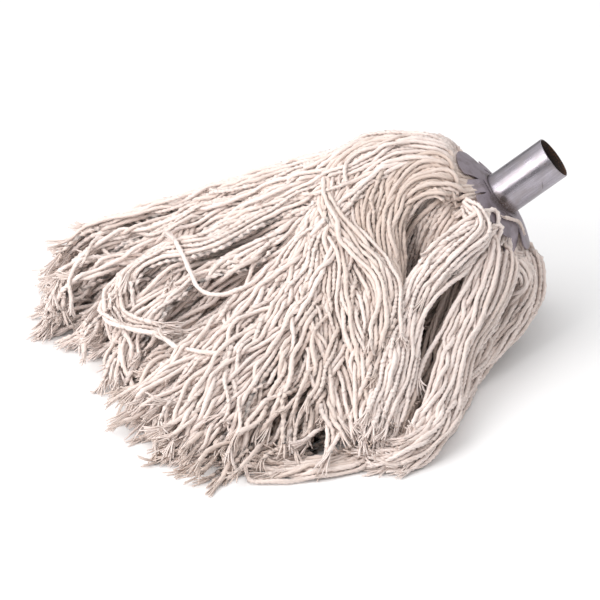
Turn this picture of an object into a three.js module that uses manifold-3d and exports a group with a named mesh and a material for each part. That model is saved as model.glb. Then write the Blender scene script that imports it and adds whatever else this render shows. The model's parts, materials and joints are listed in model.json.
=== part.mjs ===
// A cotton string mop head: a galvanised handle socket with a petalled clamp plate, and the yarn
// that it holds, lying on its side on a floor. Millimetres, +Z up, the floor at z = 0, +X towards
// the socket's mouth. The socket leans back at LEAN above the floor and the yarn fans out to -X and -Y.
import * as THREE from "three";
import * as BufferGeometryUtils from "three/addons/utils/BufferGeometryUtils.js";
import Module from "manifold-3d";

const wasm = await Module();
wasm.setup();

// Driving dimensions of the metal head
const DEG = Math.PI / 180;
const LEAN = 38.5 * DEG; // the socket's axis above the floor
const TUBE_R = 12.5; // outside radius of the socket tube
const SHEET = 0.8; // thickness of the rolled and pressed sheet
const TUBE_LENGTH = 36; // from the plate's upper face to the mouth
const PLATE_R = 33.5; // radius at the middle of a wide petal
const DOME_DROP = 6; // how far the rim lies below the plate's centre
const CLAMP_DROP = 16.6; // depth of the yarn that is clamped under the plate's centre
const GAP = 0.3; // clearance between pieces that touch

// Driving dimensions of the yarn
const NECK_DEPTH = 20; // the neck's centre below the plate, along the axis
const NECK_Z = 70; // the neck's centre above the floor
const CORE_R = 39.8; // the clamped yarn stays inside this sphere round the neck's centre
const SKIRT_R = 41.6; // the hanks stay outside this one
const HANK_GAP = 1; // clearance between hanks
const WRAP_CLEAR = 3; // the layers' clearance grows by up to this many gaps where they twist most

const tiltAxis = new THREE.Vector3(0, 1, 0);
const group = new THREE.Group();
const head = new THREE.Group(); // local +Z along the socket, local origin at the plate's centre
head.rotation.y = Math.PI / 2 - LEAN;
const axisDirection = new THREE.Vector3(0, 0, 1).applyAxisAngle(tiltAxis, Math.PI / 2 - LEAN);
head.position.set(0, 0, NECK_Z).addScaledVector(axisDirection, NECK_DEPTH);
group.add(head);

const zincTube = new THREE.MeshStandardMaterial({ color: 0xb9b6c0, metalness: 0.9, roughness: 0.3 });
const zincPlate = new THREE.MeshStandardMaterial({ color: 0x9d98a3, metalness: 0.8, roughness: 0.5 });
const innerSteel = new THREE.MeshStandardMaterial({ color: 0x7d7a80, metalness: 0.9, roughness: 0.4 });
const cotton = new THREE.MeshStandardMaterial({ color: 0xe8dccf, metalness: 0, roughness: 0.95 });

const clamp01 = (x) => Math.min(1, Math.max(0, x));
const smooth = (x) => clamp01(x) ** 2 * (3 - 2 * clamp01(x));
const mix = (a, b, t) => a + (b - a) * t;

/** Turns a closed geometry's faces outward if they point inward. */
function outward(geometry) {
  const p = geometry.attributes.position;
  const index = geometry.index.array;
  const [a, b, c] = [new THREE.Vector3(), new THREE.Vector3(), new THREE.Vector3()];
  let volume = 0;
  for (let i = 0; i < index.length; i += 3) {
    a.fromBufferAttribute(p, index[i]);
    b.fromBufferAttribute(p, index[i + 1]);
    c.fromBufferAttribute(p, index[i + 2]);
    volume += a.dot(b.cross(c));
  }
  if (volume < 0) {
    for (let i = 0; i < index.length; i += 3) [index[i], index[i + 1]] = [index[i + 1], index[i]];
  }
  return geometry;
}

/** Merges shared vertices so that the body is closed. */
function welded(geometry) {
  geometry.deleteAttribute("normal");
  geometry.deleteAttribute("uv");
  return outward(BufferGeometryUtils.mergeVertices(geometry, 1e-4));
}

function solidOf(geometry) {
  const body = welded(geometry);
  return new wasm.Manifold(
    new wasm.Mesh({
      numProp: 3,
      vertProperties: new Float32Array(body.attributes.position.array),
      triVerts: new Uint32Array(body.index.array),
    }),
  );
}

function geometryOf(solid) {
  const mesh = solid.getMesh();
  const geometry = new THREE.BufferGeometry();
  geometry.setAttribute("position", new THREE.BufferAttribute(new Float32Array(mesh.vertProperties), 3));
  geometry.setIndex(new THREE.BufferAttribute(new Uint32Array(mesh.triVerts), 1));
  return geometry;
}

/** A body of revolution about +Z from [radius, height] points. */
function turned(points, segments) {
  const geometry = new THREE.LatheGeometry(points.map(([r, w]) => new THREE.Vector2(r, w)), segments);
  geometry.rotateX(Math.PI / 2);
  return geometry;
}

/** A closed profile, which repeats its first point at the end. */
const closed = (points) => [...points, points[0]];

/** A prism along +Z, from low to high, with an outline of [x, y] points, turned about Z by angle. */
function prism(outline, low, high, angle) {
  const shape = new THREE.Shape(outline.map(([x, y]) => new THREE.Vector2(x, y)));
  const geometry = new THREE.ExtrudeGeometry(shape, { depth: high - low, bevelEnabled: false });
  geometry.translate(0, 0, low);
  geometry.rotateZ(angle);
  return geometry;
}

function addTo(parent, name, geometry, material) {
  const mesh = new THREE.Mesh(geometry, material);
  mesh.name = name;
  parent.add(mesh);
  return mesh;
}

// The petal plate. Angles are in the plate's plane, from its local +X.
const QUADRANTS = [0, 1, 2, 3];
const NARROW_CENTRE = -51 * DEG; // one narrow petal; the others follow at quarter turns
const NARROW_HALF = 13 * DEG;
const WIDE_HALF = 32 * DEG;
const SLIT_HALF = 0.7 * DEG;
const SLIT_START = 21; // radius where the slits between petals begin
const PLATE_HOLE = TUBE_R + GAP;
const NARROW_FOLD = 6.5; // how far a narrow petal's tip is folded below the dome
const NARROW_LONGER = 1.2; // how much further a narrow petal reaches
const PETAL_ROUND = 2.6; // how far a petal's corners stand back from its tip

/** Columns round the plate: each petal's own, ending just short of the slits on both sides. */
function plateColumns() {
  const columns = [];
  for (const quadrant of QUADRANTS) {
    const narrow = NARROW_CENTRE + quadrant * 90 * DEG;
    const wide = narrow + 45 * DEG;
    for (const [centre, half, steps, isNarrow] of [
      [narrow, NARROW_HALF - SLIT_HALF, 4, true],
      [wide, WIDE_HALF - SLIT_HALF, 7, false],
    ]) {
      for (let i = 0; i <= steps; i += 1) {
        const across = (2 * i) / steps - 1;
        columns.push({ angle: centre + across * half, across, isNarrow });
      }
    }
  }
  return columns;
}

const domeDrop = (r) => DOME_DROP * (r / PLATE_R) ** 2.6;

/** Depth of the sheet's upper face below the plate's centre. */
function petalDrop(r, column) {
  const fold = clamp01((r - SLIT_START) / (PLATE_R - SLIT_START)) ** 1.4;
  return domeDrop(r) + (column.isNarrow ? NARROW_FOLD * fold : 0);
}

/** The plate's sheet, before its slits, slots and claws. */
function plateSheet() {
  const columns = plateColumns();
  const rows = 5;
  const vertices = [];
  for (const side of [0, 1]) {
    for (let row = 0; row <= rows; row += 1) {
      for (const column of columns) {
        const corner = PETAL_ROUND * Math.abs(column.across) ** 4;
        const rim = PLATE_R + (column.isNarrow ? NARROW_LONGER : 0) - corner;
        const r = mix(PLATE_HOLE, rim, row / rows);
        const w = -petalDrop(r, column) - side * SHEET;
        vertices.push(r * Math.cos(column.angle), r * Math.sin(column.angle), w);
      }
    }
  }
  const n = columns.length;
  const at = (side, row, i) => (side * (rows + 1) + row) * n + (i % n);
  const faces = [];
  const quad = (a, b, c, d) => faces.push(a, b, c, a, c, d);
  for (let i = 0; i < n; i += 1) {
    for (let row = 0; row < rows; row += 1) {
      quad(at(0, row, i), at(0, row + 1, i), at(0, row + 1, i + 1), at(0, row, i + 1));
      quad(at(1, row, i), at(1, row, i + 1), at(1, row + 1, i + 1), at(1, row + 1, i));
    }
    quad(at(0, rows, i), at(1, rows, i), at(1, rows, i + 1), at(0, rows, i + 1));
    quad(at(0, 0, i), at(0, 0, i + 1), at(1, 0, i + 1), at(1, 0, i));
  }
  const geometry = new THREE.BufferGeometry();
  geometry.setAttribute("position", new THREE.Float32BufferAttribute(vertices, 3));
  geometry.setIndex(faces);
  return outward(geometry);
}

const SLIT_OUTLINE = [
  [SLIT_START, 0],
  [24.5, -0.9],
  [28, -0.9],
  [38, -0.5],
  [38, 0.5],
  [28, 0.9],
  [24.5, 0.9],
];
const CLAW_R = 15.4; // inner edge of a claw's slot
const CLAW_SLOT = 1.7;
const CLAW_WIDTH = 8;
const CLAW_LENGTH = 5.5;
const CLAW_POINT = 1.2; // half the width of its tip

/** A claw: a pointed tooth bent down out of the plate at the outer edge of its slot. */
function claw(angle) {
  const half = CLAW_WIDTH / 2;
  const top = -SHEET / 2 - domeDrop(CLAW_R);
  const shape = new THREE.Shape([
    new THREE.Vector2(-half, top),
    new THREE.Vector2(-half, top - CLAW_LENGTH / 2),
    new THREE.Vector2(-CLAW_POINT, top - CLAW_LENGTH),
    new THREE.Vector2(CLAW_POINT, top - CLAW_LENGTH),
    new THREE.Vector2(half, top - CLAW_LENGTH / 2),
    new THREE.Vector2(half, top),
  ]);
  const geometry = new THREE.ExtrudeGeometry(shape, { depth: SHEET, bevelEnabled: false });
  geometry.rotateX(Math.PI / 2);
  geometry.rotateZ(Math.PI / 2);
  geometry.translate(CLAW_R + CLAW_SLOT, 0, 0);
  geometry.rotateZ(angle);
  return geometry;
}

function petalPlate() {
  let plate = solidOf(plateSheet());
  for (const quadrant of QUADRANTS) {
    const narrow = NARROW_CENTRE + quadrant * 90 * DEG;
    for (const edge of [narrow - NARROW_HALF, narrow + NARROW_HALF]) {
      plate = plate.subtract(solidOf(prism(SLIT_OUTLINE, -20, 5, edge)));
    }
    const slot = [
      [CLAW_R, -CLAW_WIDTH / 2 - 0.5],
      [CLAW_R + CLAW_SLOT, -CLAW_WIDTH / 2 - 0.5],
      [CLAW_R + CLAW_SLOT, CLAW_WIDTH / 2 + 0.5],
      [CLAW_R, CLAW_WIDTH / 2 + 0.5],
    ];
    plate = plate.subtract(solidOf(prism(slot, -4, 4, narrow)));
    plate = plate.add(solidOf(claw(narrow)));
  }
  return geometryOf(plate);
}

// The socket tube: a straight wall with a foot that is flared under the plate, and one nail hole.
const FOOT_TOP = -SHEET - domeDrop(TUBE_R) - GAP - 0.15; // the flare's upper face
const FOOT_R = 14.6;
const NAIL_HOLE_R = 1.6;
const NAIL_HOLE_UP = 18; // the hole's centre above the plate
const NAIL_HOLE_ANGLE = 84 * DEG;

function socketTube() {
  const wall = turned(
    closed([
      [TUBE_R - SHEET, TUBE_LENGTH],
      [TUBE_R, TUBE_LENGTH],
      [TUBE_R, FOOT_TOP],
      [FOOT_R, FOOT_TOP],
      [FOOT_R, FOOT_TOP - SHEET],
      [TUBE_R - 0.4, FOOT_TOP - SHEET],
      [TUBE_R - SHEET, FOOT_TOP - 0.3],
    ]),
    40,
  );
  const drill = new THREE.CylinderGeometry(NAIL_HOLE_R, NAIL_HOLE_R, 4, 12);
  drill.rotateZ(Math.PI / 2);
  drill.translate(TUBE_R - SHEET / 2, 0, NAIL_HOLE_UP);
  drill.rotateZ(NAIL_HOLE_ANGLE);
  return geometryOf(solidOf(wall).subtract(solidOf(drill)));
}

// Inner hardware, all turned about the socket's axis.
const DISC_TOP = FOOT_TOP - SHEET - GAP;
const DISC_T = 1;
const DISC_R = FOOT_R - 0.3;
const RIVET_R = 2.5;
const CLAMP_T = 1.2;
const WASHER_T = 1;
const WASHER_R = 6.5;
const RING_R = 15;
const RING_WIRE_R = 1.5;
const clampTop = -CLAMP_DROP - GAP;
const washerTop = clampTop - CLAMP_T - GAP;

/** A flat disc's profile, with a bore that clears the rivet. */
const ringProfile = (outer, top, thickness) =>
  closed([
    [RIVET_R + GAP, top],
    [outer, top],
    [outer, top - thickness],
    [RIVET_R + GAP, top - thickness],
  ]);

function centreRivet() {
  const headLow = DISC_TOP + GAP;
  const tailHigh = washerTop - WASHER_T - GAP;
  return turned(
    [
      [0, headLow + 2.2],
      [2.6, headLow + 1.9],
      [4.4, headLow + 0.9],
      [4.8, headLow],
      [RIVET_R, headLow],
      [RIVET_R, tailHigh],
      [4.3, tailHigh],
      [4.0, tailHigh - 1.2],
      [2.2, tailHigh - 2],
      [0, tailHigh - 2.2],
    ],
    20,
  );
}

function clampDisc() {
  return turned(
    closed([
      [RIVET_R + GAP, clampTop],
      [17, clampTop],
      [19.5, clampTop - 2.2],
      [19.2, clampTop - 2.2 - CLAMP_T],
      [16.6, clampTop - CLAMP_T],
      [RIVET_R + GAP, clampTop - CLAMP_T],
    ]),
    28,
  );
}

function wireRing() {
  const steps = 8;
  const profile = [];
  for (let i = 0; i <= steps; i += 1) {
    const turn = ((i % steps) / steps) * 2 * Math.PI;
    profile.push([RING_R + RING_WIRE_R * Math.cos(turn), -CLAMP_DROP + RING_WIRE_R * (1 + Math.sin(turn))]);
  }
  return turned(profile, 28);
}

/** The clamped yarn: it fills the plate from below and bulges out round the petals. */
function yarnCore() {
  const grooveIn = RING_R - RING_WIRE_R - GAP;
  const grooveOut = RING_R + RING_WIRE_R + GAP;
  const grooveTop = -CLAMP_DROP + 2 * RING_WIRE_R + GAP;
  const clawIn = CLAW_R + CLAW_SLOT - GAP;
  const clawOut = Math.hypot(CLAW_R + CLAW_SLOT + SHEET, CLAW_WIDTH / 2) + GAP;
  const clawLow = -SHEET - domeDrop(CLAW_R) - CLAW_LENGTH - GAP;
  const boreR = RIVET_R + GAP + 0.1;
  const discLow = DISC_TOP - DISC_T - GAP;
  const narrow = { isNarrow: true };
  const underPetal = (r) => [r, -petalDrop(r, narrow) - SHEET - 2 * GAP];
  const underPetals = [20.5, 24, 28, 32, PLATE_R + 1.4].map(underPetal);
  const bulge = [];
  for (let up = 6; up >= -42; up -= 8) {
    bulge.push([CORE_R * Math.cos(up * DEG), -NECK_DEPTH + CORE_R * Math.sin(up * DEG)]);
  }
  return turned(
    closed([
      [boreR, discLow],
      [clawIn, discLow],
      [clawIn, clawLow],
      [clawOut, clawLow],
      [clawOut, discLow],
      ...underPetals,
      ...bulge,
      [24, -42],
      [22, -30],
      [20.6, -CLAMP_DROP - 2],
      [grooveOut + 0.4, -CLAMP_DROP],
      [grooveOut, grooveTop],
      [grooveIn, grooveTop],
      [grooveIn, -CLAMP_DROP],
      [boreR, -CLAMP_DROP],
    ]),
    32,
  );
}

/** A scrap of yarn that lies over the plate's near side. */
function looseThread() {
  const lift = 1.5;
  const route = [
    [2.4, -24.5],
    [6, -21],
    [9.6, -17.4],
    [13.6, -13.4],
    [17, -12.4],
    [20, -13.6],
  ].map(([x, y]) => new THREE.Vector3(x, y, lift - domeDrop(Math.hypot(x, y))));
  const section = new THREE.Shape();
  section.absarc(0, 0, 1.2, 0, 2 * Math.PI);
  return new THREE.ExtrudeGeometry(section, {
    extrudePath: new THREE.CatmullRomCurve3(route),
    steps: 10,
    curveSegments: 4,
    bevelEnabled: false,
  });
}

addTo(head, "socket_tube", socketTube(), zincTube);
addTo(head, "petal_plate", petalPlate(), zincPlate);
addTo(head, "backing_disc", welded(turned(ringProfile(DISC_R, DISC_TOP, DISC_T), 28)), innerSteel);
addTo(head, "centre_rivet", welded(centreRivet()), innerSteel);
addTo(head, "clamp_disc", welded(clampDisc()), innerSteel);
addTo(head, "rivet_washer", welded(turned(ringProfile(WASHER_R, washerTop, WASHER_T), 20)), innerSteel);
addTo(head, "wire_ring", welded(wireRing()), innerSteel);
addTo(head, "yarn_core", welded(yarnCore()), cotton);
addTo(head, "loose_thread", welded(looseThread()), cotton);

// The yarn outside the clamp, in cylinder coordinates about the vertical through the neck's centre.
// u runs once round the neck: from the back right, over the back, the left and the front, to the front
// right. Near the neck the hanks stand all round it, and further out they close up into one fan.
const FAN_START = 148 * DEG;
const FAN_END = 264 * DEG;
const RING_START = 30 * DEG;
const RING_END = 340 * DEG;
const WRAP_FROM = 38; // the hanks wrap round the neck between these two radii
const WRAP_TO = 84;
const HANK_REACH = [204, 218, 234, 247, 248, 246, 218, 224, 237, 245, 213, 176]; // tip radius, back to front
const FRONT_SPREAD = 0.65; // 0 spaces the hanks evenly, 1 draws them all towards the front
const EXIT_RISE = 14; // degrees above level at which the yarn leaves the clamp, at the front and back
const EXIT_SWING = 40; // and how much steeper it is at the left, where the petals' rim stands high
const SIDE_CLEAR = 30; // how far above the floor the yarn starts on the right, under the low petals
const BACK_FALL = 0.95; // how early a hank loses its height, at the back and at the front
const FRONT_FALL = 1.35;
const TIP_HEIGHT = 15;
const TIP_NARROWING = 0.35; // share of its width and height that a hank loses at its tip
const TIP_FLATTENING = 0.45;
const RIDGE_U = 0.3; // the yarn lies highest along this part of the fan
const RIDGE_HALF = 0.45;
const RIDGE_RISE = 14;
const RIDGE_FROM = 20; // the ridge grows between these two radii
const RIDGE_FULL = 60;
const FLOOR_HOLE = 27.5; // the hanks on the floor begin at this radius
const CUT_DEPTH = 6; // how far the hanks run into the neck's sphere before it is cut out of them
const SHARED_RADII = [41, 45, 50, 56, 63, 72, 84, 116]; // stations that all the hanks share
const OUTER_STEPS = 4;

const ringAngle = (u) => mix(RING_START, RING_END, u);
const tipAngle = (u) => mix(FAN_START, FAN_END, mix(u, u ** 2, FRONT_SPREAD));
const wrapped = (r) => 1 - (1 - clamp01((r - WRAP_FROM) / (WRAP_TO - WRAP_FROM))) ** 2;
const hankAngle = (u, r) => mix(ringAngle(u), tipAngle(u), wrapped(r));
const rightness = (u) => Math.max(0, Math.cos(ringAngle(u))); // 1 on the neck's right, 0 from front to back
const exitRise = (u) => (EXIT_RISE - EXIT_SWING * Math.cos(ringAngle(u))) * DEG;
const exitHeight = (u) => NECK_Z + SKIRT_R * Math.sin(exitRise(u));

/** Height of the yarn's upper surface. */
function topHeight(u, r, reach) {
  const along = clamp01((r - WRAP_FROM) / (reach - WRAP_FROM));
  const fall = mix(BACK_FALL, FRONT_FALL, smooth((u - 0.25) / 0.5));
  const grown = smooth((r - RIDGE_FROM) / (RIDGE_FULL - RIDGE_FROM));
  const ridge = smooth(1 - Math.abs(u - RIDGE_U) / RIDGE_HALF) * grown * (1 - along ** 2);
  return mix(exitHeight(u), TIP_HEIGHT, 1 - (1 - along) ** fall) + RIDGE_RISE * ridge;
}

/** Height of its underside: on the floor, but clear of it beside the neck on the right. */
const baseHeight = (u, r) => SIDE_CLEAR * rightness(u) ** 0.6 * (1 - wrapped(r));

/** Where a hank starts at a height: a little inside the neck's sphere, which is then cut away. */
function innerRadius(z) {
  const up = z - NECK_Z;
  const onSphere = Math.sqrt(Math.max(0, SKIRT_R ** 2 - up ** 2));
  return Math.max(FLOOR_HOLE * (z < NECK_Z ? 1 : 0.3), onSphere - CUT_DEPTH);
}

// Section of a hank: [across, up] points, each from 0 to 1
const SECTION = [
  [0, 0],
  [0.5, 0],
  [1, 0],
  [1, 0.75],
  [0.84, 0.95],
  [0.5, 1],
  [0.16, 0.95],
  [0, 0.75],
];
const TOP_FROM = 3; // the section's sides from this one on are its top and its left wall

const neckSphere = new THREE.SphereGeometry(SKIRT_R, 28, 14);
neckSphere.translate(0, 0, NECK_Z);
const neckSpace = solidOf(neckSphere);

/** One hank: a closed loft between two sector walls, from layer height low to high, cut off at end. */
function hank(uFrom, uTo, low, high, reach, end) {
  const stations = [null, ...SHARED_RADII];
  const last = SHARED_RADII[SHARED_RADII.length - 1];
  for (let i = 1; i <= OUTER_STEPS; i += 1) stations.push(mix(last, end, i / OUTER_STEPS));
  const vertices = [];
  stations.forEach((station, k) => {
    const toTip = clamp01((k - (stations.length - 3)) / 2);
    const narrowing = 1 - TIP_NARROWING * toTip ** 2;
    const flattening = 1 - TIP_FLATTENING * toTip ** 2;
    for (const [across, up] of SECTION) {
      const level = low + (high - low) * up * flattening;
      const spread = 0.5 + (across - 0.5) * narrowing;
      const u = mix(uFrom, uTo, spread);
      const probe = station ?? WRAP_FROM;
      const base = baseHeight(u, probe);
      const top = topHeight(u, probe, reach);
      const clear = low > 0 ? HANK_GAP * (1 + WRAP_CLEAR * rightness(u)) * (1 - up) : 0;
      const z = mix(base, top, level) + clear;
      const r = station === null ? innerRadius(z) : Math.max(station, innerRadius(z));
      const inward = (0.5 - across) * 2 * (HANK_GAP / 2);
      const angle = hankAngle(u, r) + inward / r;
      vertices.push(r * Math.cos(angle), r * Math.sin(angle), z);
    }
  });
  const n = SECTION.length;
  const faces = [];
  for (let k = 0; k < stations.length - 1; k += 1) {
    for (let i = 0; i < n; i += 1) {
      const [a, b] = [k * n + i, k * n + ((i + 1) % n)];
      // Diagonals run the same way on a hank's top and on the bottom of the one above it
      if (i < TOP_FROM) faces.push(a, b, b + n, a, b + n, a + n);
      else faces.push(a, b, a + n, b, b + n, a + n);
    }
  }
  const lastRing = (stations.length - 1) * n;
  for (let i = 1; i < n - 1; i += 1) {
    faces.push(0, i + 1, i);
    faces.push(lastRing, lastRing + i, lastRing + i + 1);
  }
  const geometry = new THREE.BufferGeometry();
  geometry.setAttribute("position", new THREE.Float32BufferAttribute(vertices, 3));
  geometry.setIndex(faces);
  return geometryOf(solidOf(outward(geometry)).subtract(neckSpace));
}

const LAYER_SPLIT = 0.5; // share of the height that the lower hanks take
const UPPER_SHORTER = 6; // the upper hanks end this much before the lower ones
HANK_REACH.forEach((reach, i) => {
  const [uFrom, uTo] = [i / HANK_REACH.length, (i + 1) / HANK_REACH.length];
  const label = String(i + 1).padStart(2, "0");
  addTo(group, `lower_hank_${label}`, hank(uFrom, uTo, 0, LAYER_SPLIT, reach, reach), cotton);
  addTo(group, `upper_hank_${label}`, hank(uFrom, uTo, LAYER_SPLIT, 1, reach, reach - UPPER_SHORTER), cotton);
});

const underNeck = turned(
  [
    [0, 0],
    [24, 0],
    [26.6, 4],
    [26.6, 22],
    [22, 26.4],
    [0, 26.4],
  ],
  24,
);
addTo(group, "hank_under_neck", welded(underNeck), cotton);

// The origin is the middle of the whole object's footprint, on the floor.
group.updateMatrixWorld(true);
const middle = new THREE.Box3().setFromObject(group, true).getCenter(new THREE.Vector3());
group.position.set(-middle.x, -middle.y, 0);
group.updateMatrixWorld(true);

export default group;
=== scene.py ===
"""A cotton string mop head on a pale floor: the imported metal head, and its yarn laid strand by strand.

Lengths in the yarn's own sections are millimetres from the neck's vertical: x and y from the neck's centre
and z above the floor. to_row() turns them into the row frame's metres.
"""
import json
import math

import bpy
import numpy as np
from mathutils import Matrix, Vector


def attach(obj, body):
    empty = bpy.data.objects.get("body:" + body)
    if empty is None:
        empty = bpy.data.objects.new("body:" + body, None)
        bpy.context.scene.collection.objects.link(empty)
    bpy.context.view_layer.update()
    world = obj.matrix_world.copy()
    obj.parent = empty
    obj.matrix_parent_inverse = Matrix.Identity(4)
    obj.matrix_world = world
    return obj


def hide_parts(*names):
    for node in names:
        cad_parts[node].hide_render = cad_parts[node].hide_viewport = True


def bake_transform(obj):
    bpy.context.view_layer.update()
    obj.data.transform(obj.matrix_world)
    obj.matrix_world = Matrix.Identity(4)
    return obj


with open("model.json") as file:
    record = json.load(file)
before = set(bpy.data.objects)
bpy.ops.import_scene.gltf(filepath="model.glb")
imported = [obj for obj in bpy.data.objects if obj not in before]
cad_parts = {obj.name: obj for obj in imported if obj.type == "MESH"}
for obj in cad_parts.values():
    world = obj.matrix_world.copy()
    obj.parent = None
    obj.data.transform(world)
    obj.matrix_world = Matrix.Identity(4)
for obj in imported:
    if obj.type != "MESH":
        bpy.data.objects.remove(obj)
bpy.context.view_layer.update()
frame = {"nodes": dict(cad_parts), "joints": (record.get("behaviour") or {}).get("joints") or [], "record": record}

MM = 0.001
NECK = np.array(frame["joints"][0]["pos_m"])
MOUNTS = {m["name"]: m for m in frame["record"]["mounts"]}
AXIS = np.array(MOUNTS["handle_socket_rim"]["axis"], float)
AXIS /= np.linalg.norm(AXIS)
NECK_DEPTH = 20.0  # the neck's centre below the plate, along the socket's axis
NECK_Z = NECK[2] / MM
NECK_CENTRE = np.array([0, 0, NECK_Z])
PLATE_CENTRE = NECK_CENTRE + AXIS * NECK_DEPTH
HEAD_CENTRE = NECK + AXIS * NECK_DEPTH * MM  # the plate's centre in the row frame
DOWNHILL = np.array([AXIS[2], 0.0, -AXIS[0]])  # in the plate's plane, towards its lowest edge
SIDEWAYS = np.array([0.0, 1.0, 0.0])  # in the plate's plane, away from the camera


def to_row(points):
    """From millimetres about the neck's vertical to the row frame."""
    return points * MM + np.array([NECK[0], NECK[1], 0.0])


def add_object(name, data):
    made = bpy.data.objects.new(name, data)
    bpy.context.scene.collection.objects.link(made)
    return made


def note_points(mesh, name, kind, values):
    """Gives each of the mesh's points a value of its own, for the materials to read."""
    field = "vector" if kind == "FLOAT_VECTOR" else "value"
    mesh.attributes.new(name, kind, "POINT").data.foreach_set(field, values.astype(np.float32).ravel())


# ---- camera, floor and light

CAMERA_RISE = math.radians(27)
CAMERA_AIM = Vector(NECK) + Vector((-0.0967, -0.0269, -0.040))
CAMERA_FAR = 2.317
LENS = 250.0
SENSOR = 36.0
FLOOR_SIZE = 8
FLOOR_COLOUR = (0.93, 0.93, 0.935, 1)


def add_camera():
    """A camera with a long lens that looks along y and down at the pile."""
    data = bpy.data.cameras.new("camera")
    data.lens = LENS
    data.sensor_width = SENSOR
    data.clip_end = 20
    camera = add_object("camera", data)
    back = Vector((0, -math.cos(CAMERA_RISE), math.sin(CAMERA_RISE)))
    camera.location = CAMERA_AIM + back * CAMERA_FAR
    camera.rotation_euler = (-back).to_track_quat("-Z", "Y").to_euler()
    bpy.context.scene.camera = camera


def add_light(name, place, aim, size, power, tint):
    data = bpy.data.lights.new(name, "AREA")
    data.shape = "RECTANGLE"
    data.size, data.size_y = size
    data.energy = power
    data.color = tint
    light = add_object(name, data)
    light.location = place
    light.rotation_euler = (Vector(aim) - Vector(place)).to_track_quat("-Z", "Y").to_euler()


def add_stage():
    bpy.ops.mesh.primitive_plane_add(size=FLOOR_SIZE, location=(0, 1.5, 0))
    floor = bpy.context.object
    floor.name = "floor"
    material = bpy.data.materials.new("floor_paper")
    material.use_nodes = True
    bsdf = material.node_tree.nodes["Principled BSDF"]
    bsdf.inputs["Base Color"].default_value = FLOOR_COLOUR
    bsdf.inputs["Roughness"].default_value = 0.9
    floor.data.materials.append(material)
    world = bpy.data.worlds.new("studio")
    bpy.context.scene.world = world
    world.use_nodes = True
    add_sky(world.node_tree)


def add_sky(tree):
    """A studio's room: dim at the height of the floor's far edge and bright overhead."""
    place = tree.nodes.new("ShaderNodeTexCoord")
    split = tree.nodes.new("ShaderNodeSeparateXYZ")
    tree.links.new(place.outputs["Generated"], split.inputs[0])
    height = tree.nodes.new("ShaderNodeMapRange")
    height.interpolation_type = "SMOOTHSTEP"
    for name, number in (("From Min", 0.08), ("From Max", 0.5), ("To Min", 0.22), ("To Max", 0.92)):
        height.inputs[name].default_value = number
    tree.links.new(split.outputs["Z"], height.inputs["Value"])
    tree.links.new(height.outputs[0], tree.nodes["Background"].inputs["Strength"])
    tree.nodes["Background"].inputs["Color"].default_value = (1, 1, 1, 1)


add_camera()
add_stage()
add_light("softbox_top", (-0.35, -0.15, 1.3), (0, 0, 0), (1.2, 1.0), 4.2, (1.0, 0.985, 0.98))
add_light("softbox_front", (-1.05, -1.15, 1.0), (-0.05, 0, 0.03), (0.8, 0.8), 11, (1.0, 0.975, 0.96))
add_light("softbox_left", (-1.1, -0.3, 0.85), (0.05, 0, 0.06), (0.3, 0.8), 2.2, (1.0, 0.99, 1.0))
add_light("fill_low_left", (-1.4, -0.6, 0.3), (-0.1, -0.08, 0.02), (0.6, 0.4), 5, (1.0, 0.975, 0.955))
bpy.context.scene.view_settings.view_transform = "Standard"

# ---- the metal head's sizes

# Lengths in millimetres about the plate's centre: x downhill, y away from the camera, w along the socket
SHEET = 0.8
TUBE_R = 12.5
TUBE_LENGTH = 36.0
TUBE_SIDES = 144
FOOT_R = 14.6
TUBE_GAP = 0.3
RIM_ROUND = 0.35
NAIL_HOLE_R = 1.6
NAIL_HOLE_UP = 18.0
NAIL_HOLE_ANGLE = 84.0
PLATE_R = 33.5
PLATE_HOLE = TUBE_R + TUBE_GAP
DOME_DROP = 6.0
SLIT_START = 21.0
NARROW_CENTRE = -51.0  # degrees from the plate's lowest edge to one narrow petal; the others at quarter turns
NARROW_HALF, WIDE_HALF = 13.0, 32.0
NARROW_FOLD = 6.5
NARROW_LONGER = 1.2
PETAL_ROUND = 2.6
BEND_START = 28.0  # where the petals' outer part begins, whose rim is rounded
CLAW_R = 15.4
CLAW_SLOT = 1.7
CLAW_SLOT_HALF = 16.2
CLAW_LENGTH = 5.5


def dome_drop(r):
    return DOME_DROP * (r / PLATE_R) ** 2.6


def fold_drop(r):
    """How far a narrow petal is folded below the dome."""
    return NARROW_FOLD * np.clip((r - SLIT_START) / (PLATE_R - SLIT_START), 0, 1.05) ** 1.4


def from_narrow(degrees):
    """Degrees from the middle of the nearest narrow petal."""
    return abs((degrees - NARROW_CENTRE + 45) % 90 - 45)


def plate_direction(angle):
    """Unit vector in the plate's plane; angle in degrees from its lowest edge."""
    a = np.radians(angle)
    return np.cos(a) * DOWNHILL + np.sin(a) * SIDEWAYS


def plate_angle(azimuth):
    """The plate's own angle whose direction points to that azimuth in plan."""
    a = np.radians(azimuth)
    return np.degrees(np.arctan2(np.sin(a), np.cos(a) / AXIS[2]))


def plan_azimuth(angle):
    """Azimuth in plan of a direction in the plate's plane."""
    direction = plate_direction(angle)
    return math.degrees(math.atan2(direction[1], direction[0])) % 360


def under_plate(angle, radius, depth):
    """A point under the plate, in millimetres about the neck's vertical."""
    return PLATE_CENTRE + plate_direction(angle) * radius - AXIS * depth


def head_point(x, y, w):
    """From the head's own millimetres to millimetres about the neck's vertical."""
    return NECK_CENTRE + DOWNHILL * x + SIDEWAYS * y + AXIS * (NECK_DEPTH + w)


# ---- the fan's form, as the CAD hanks have it

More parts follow.
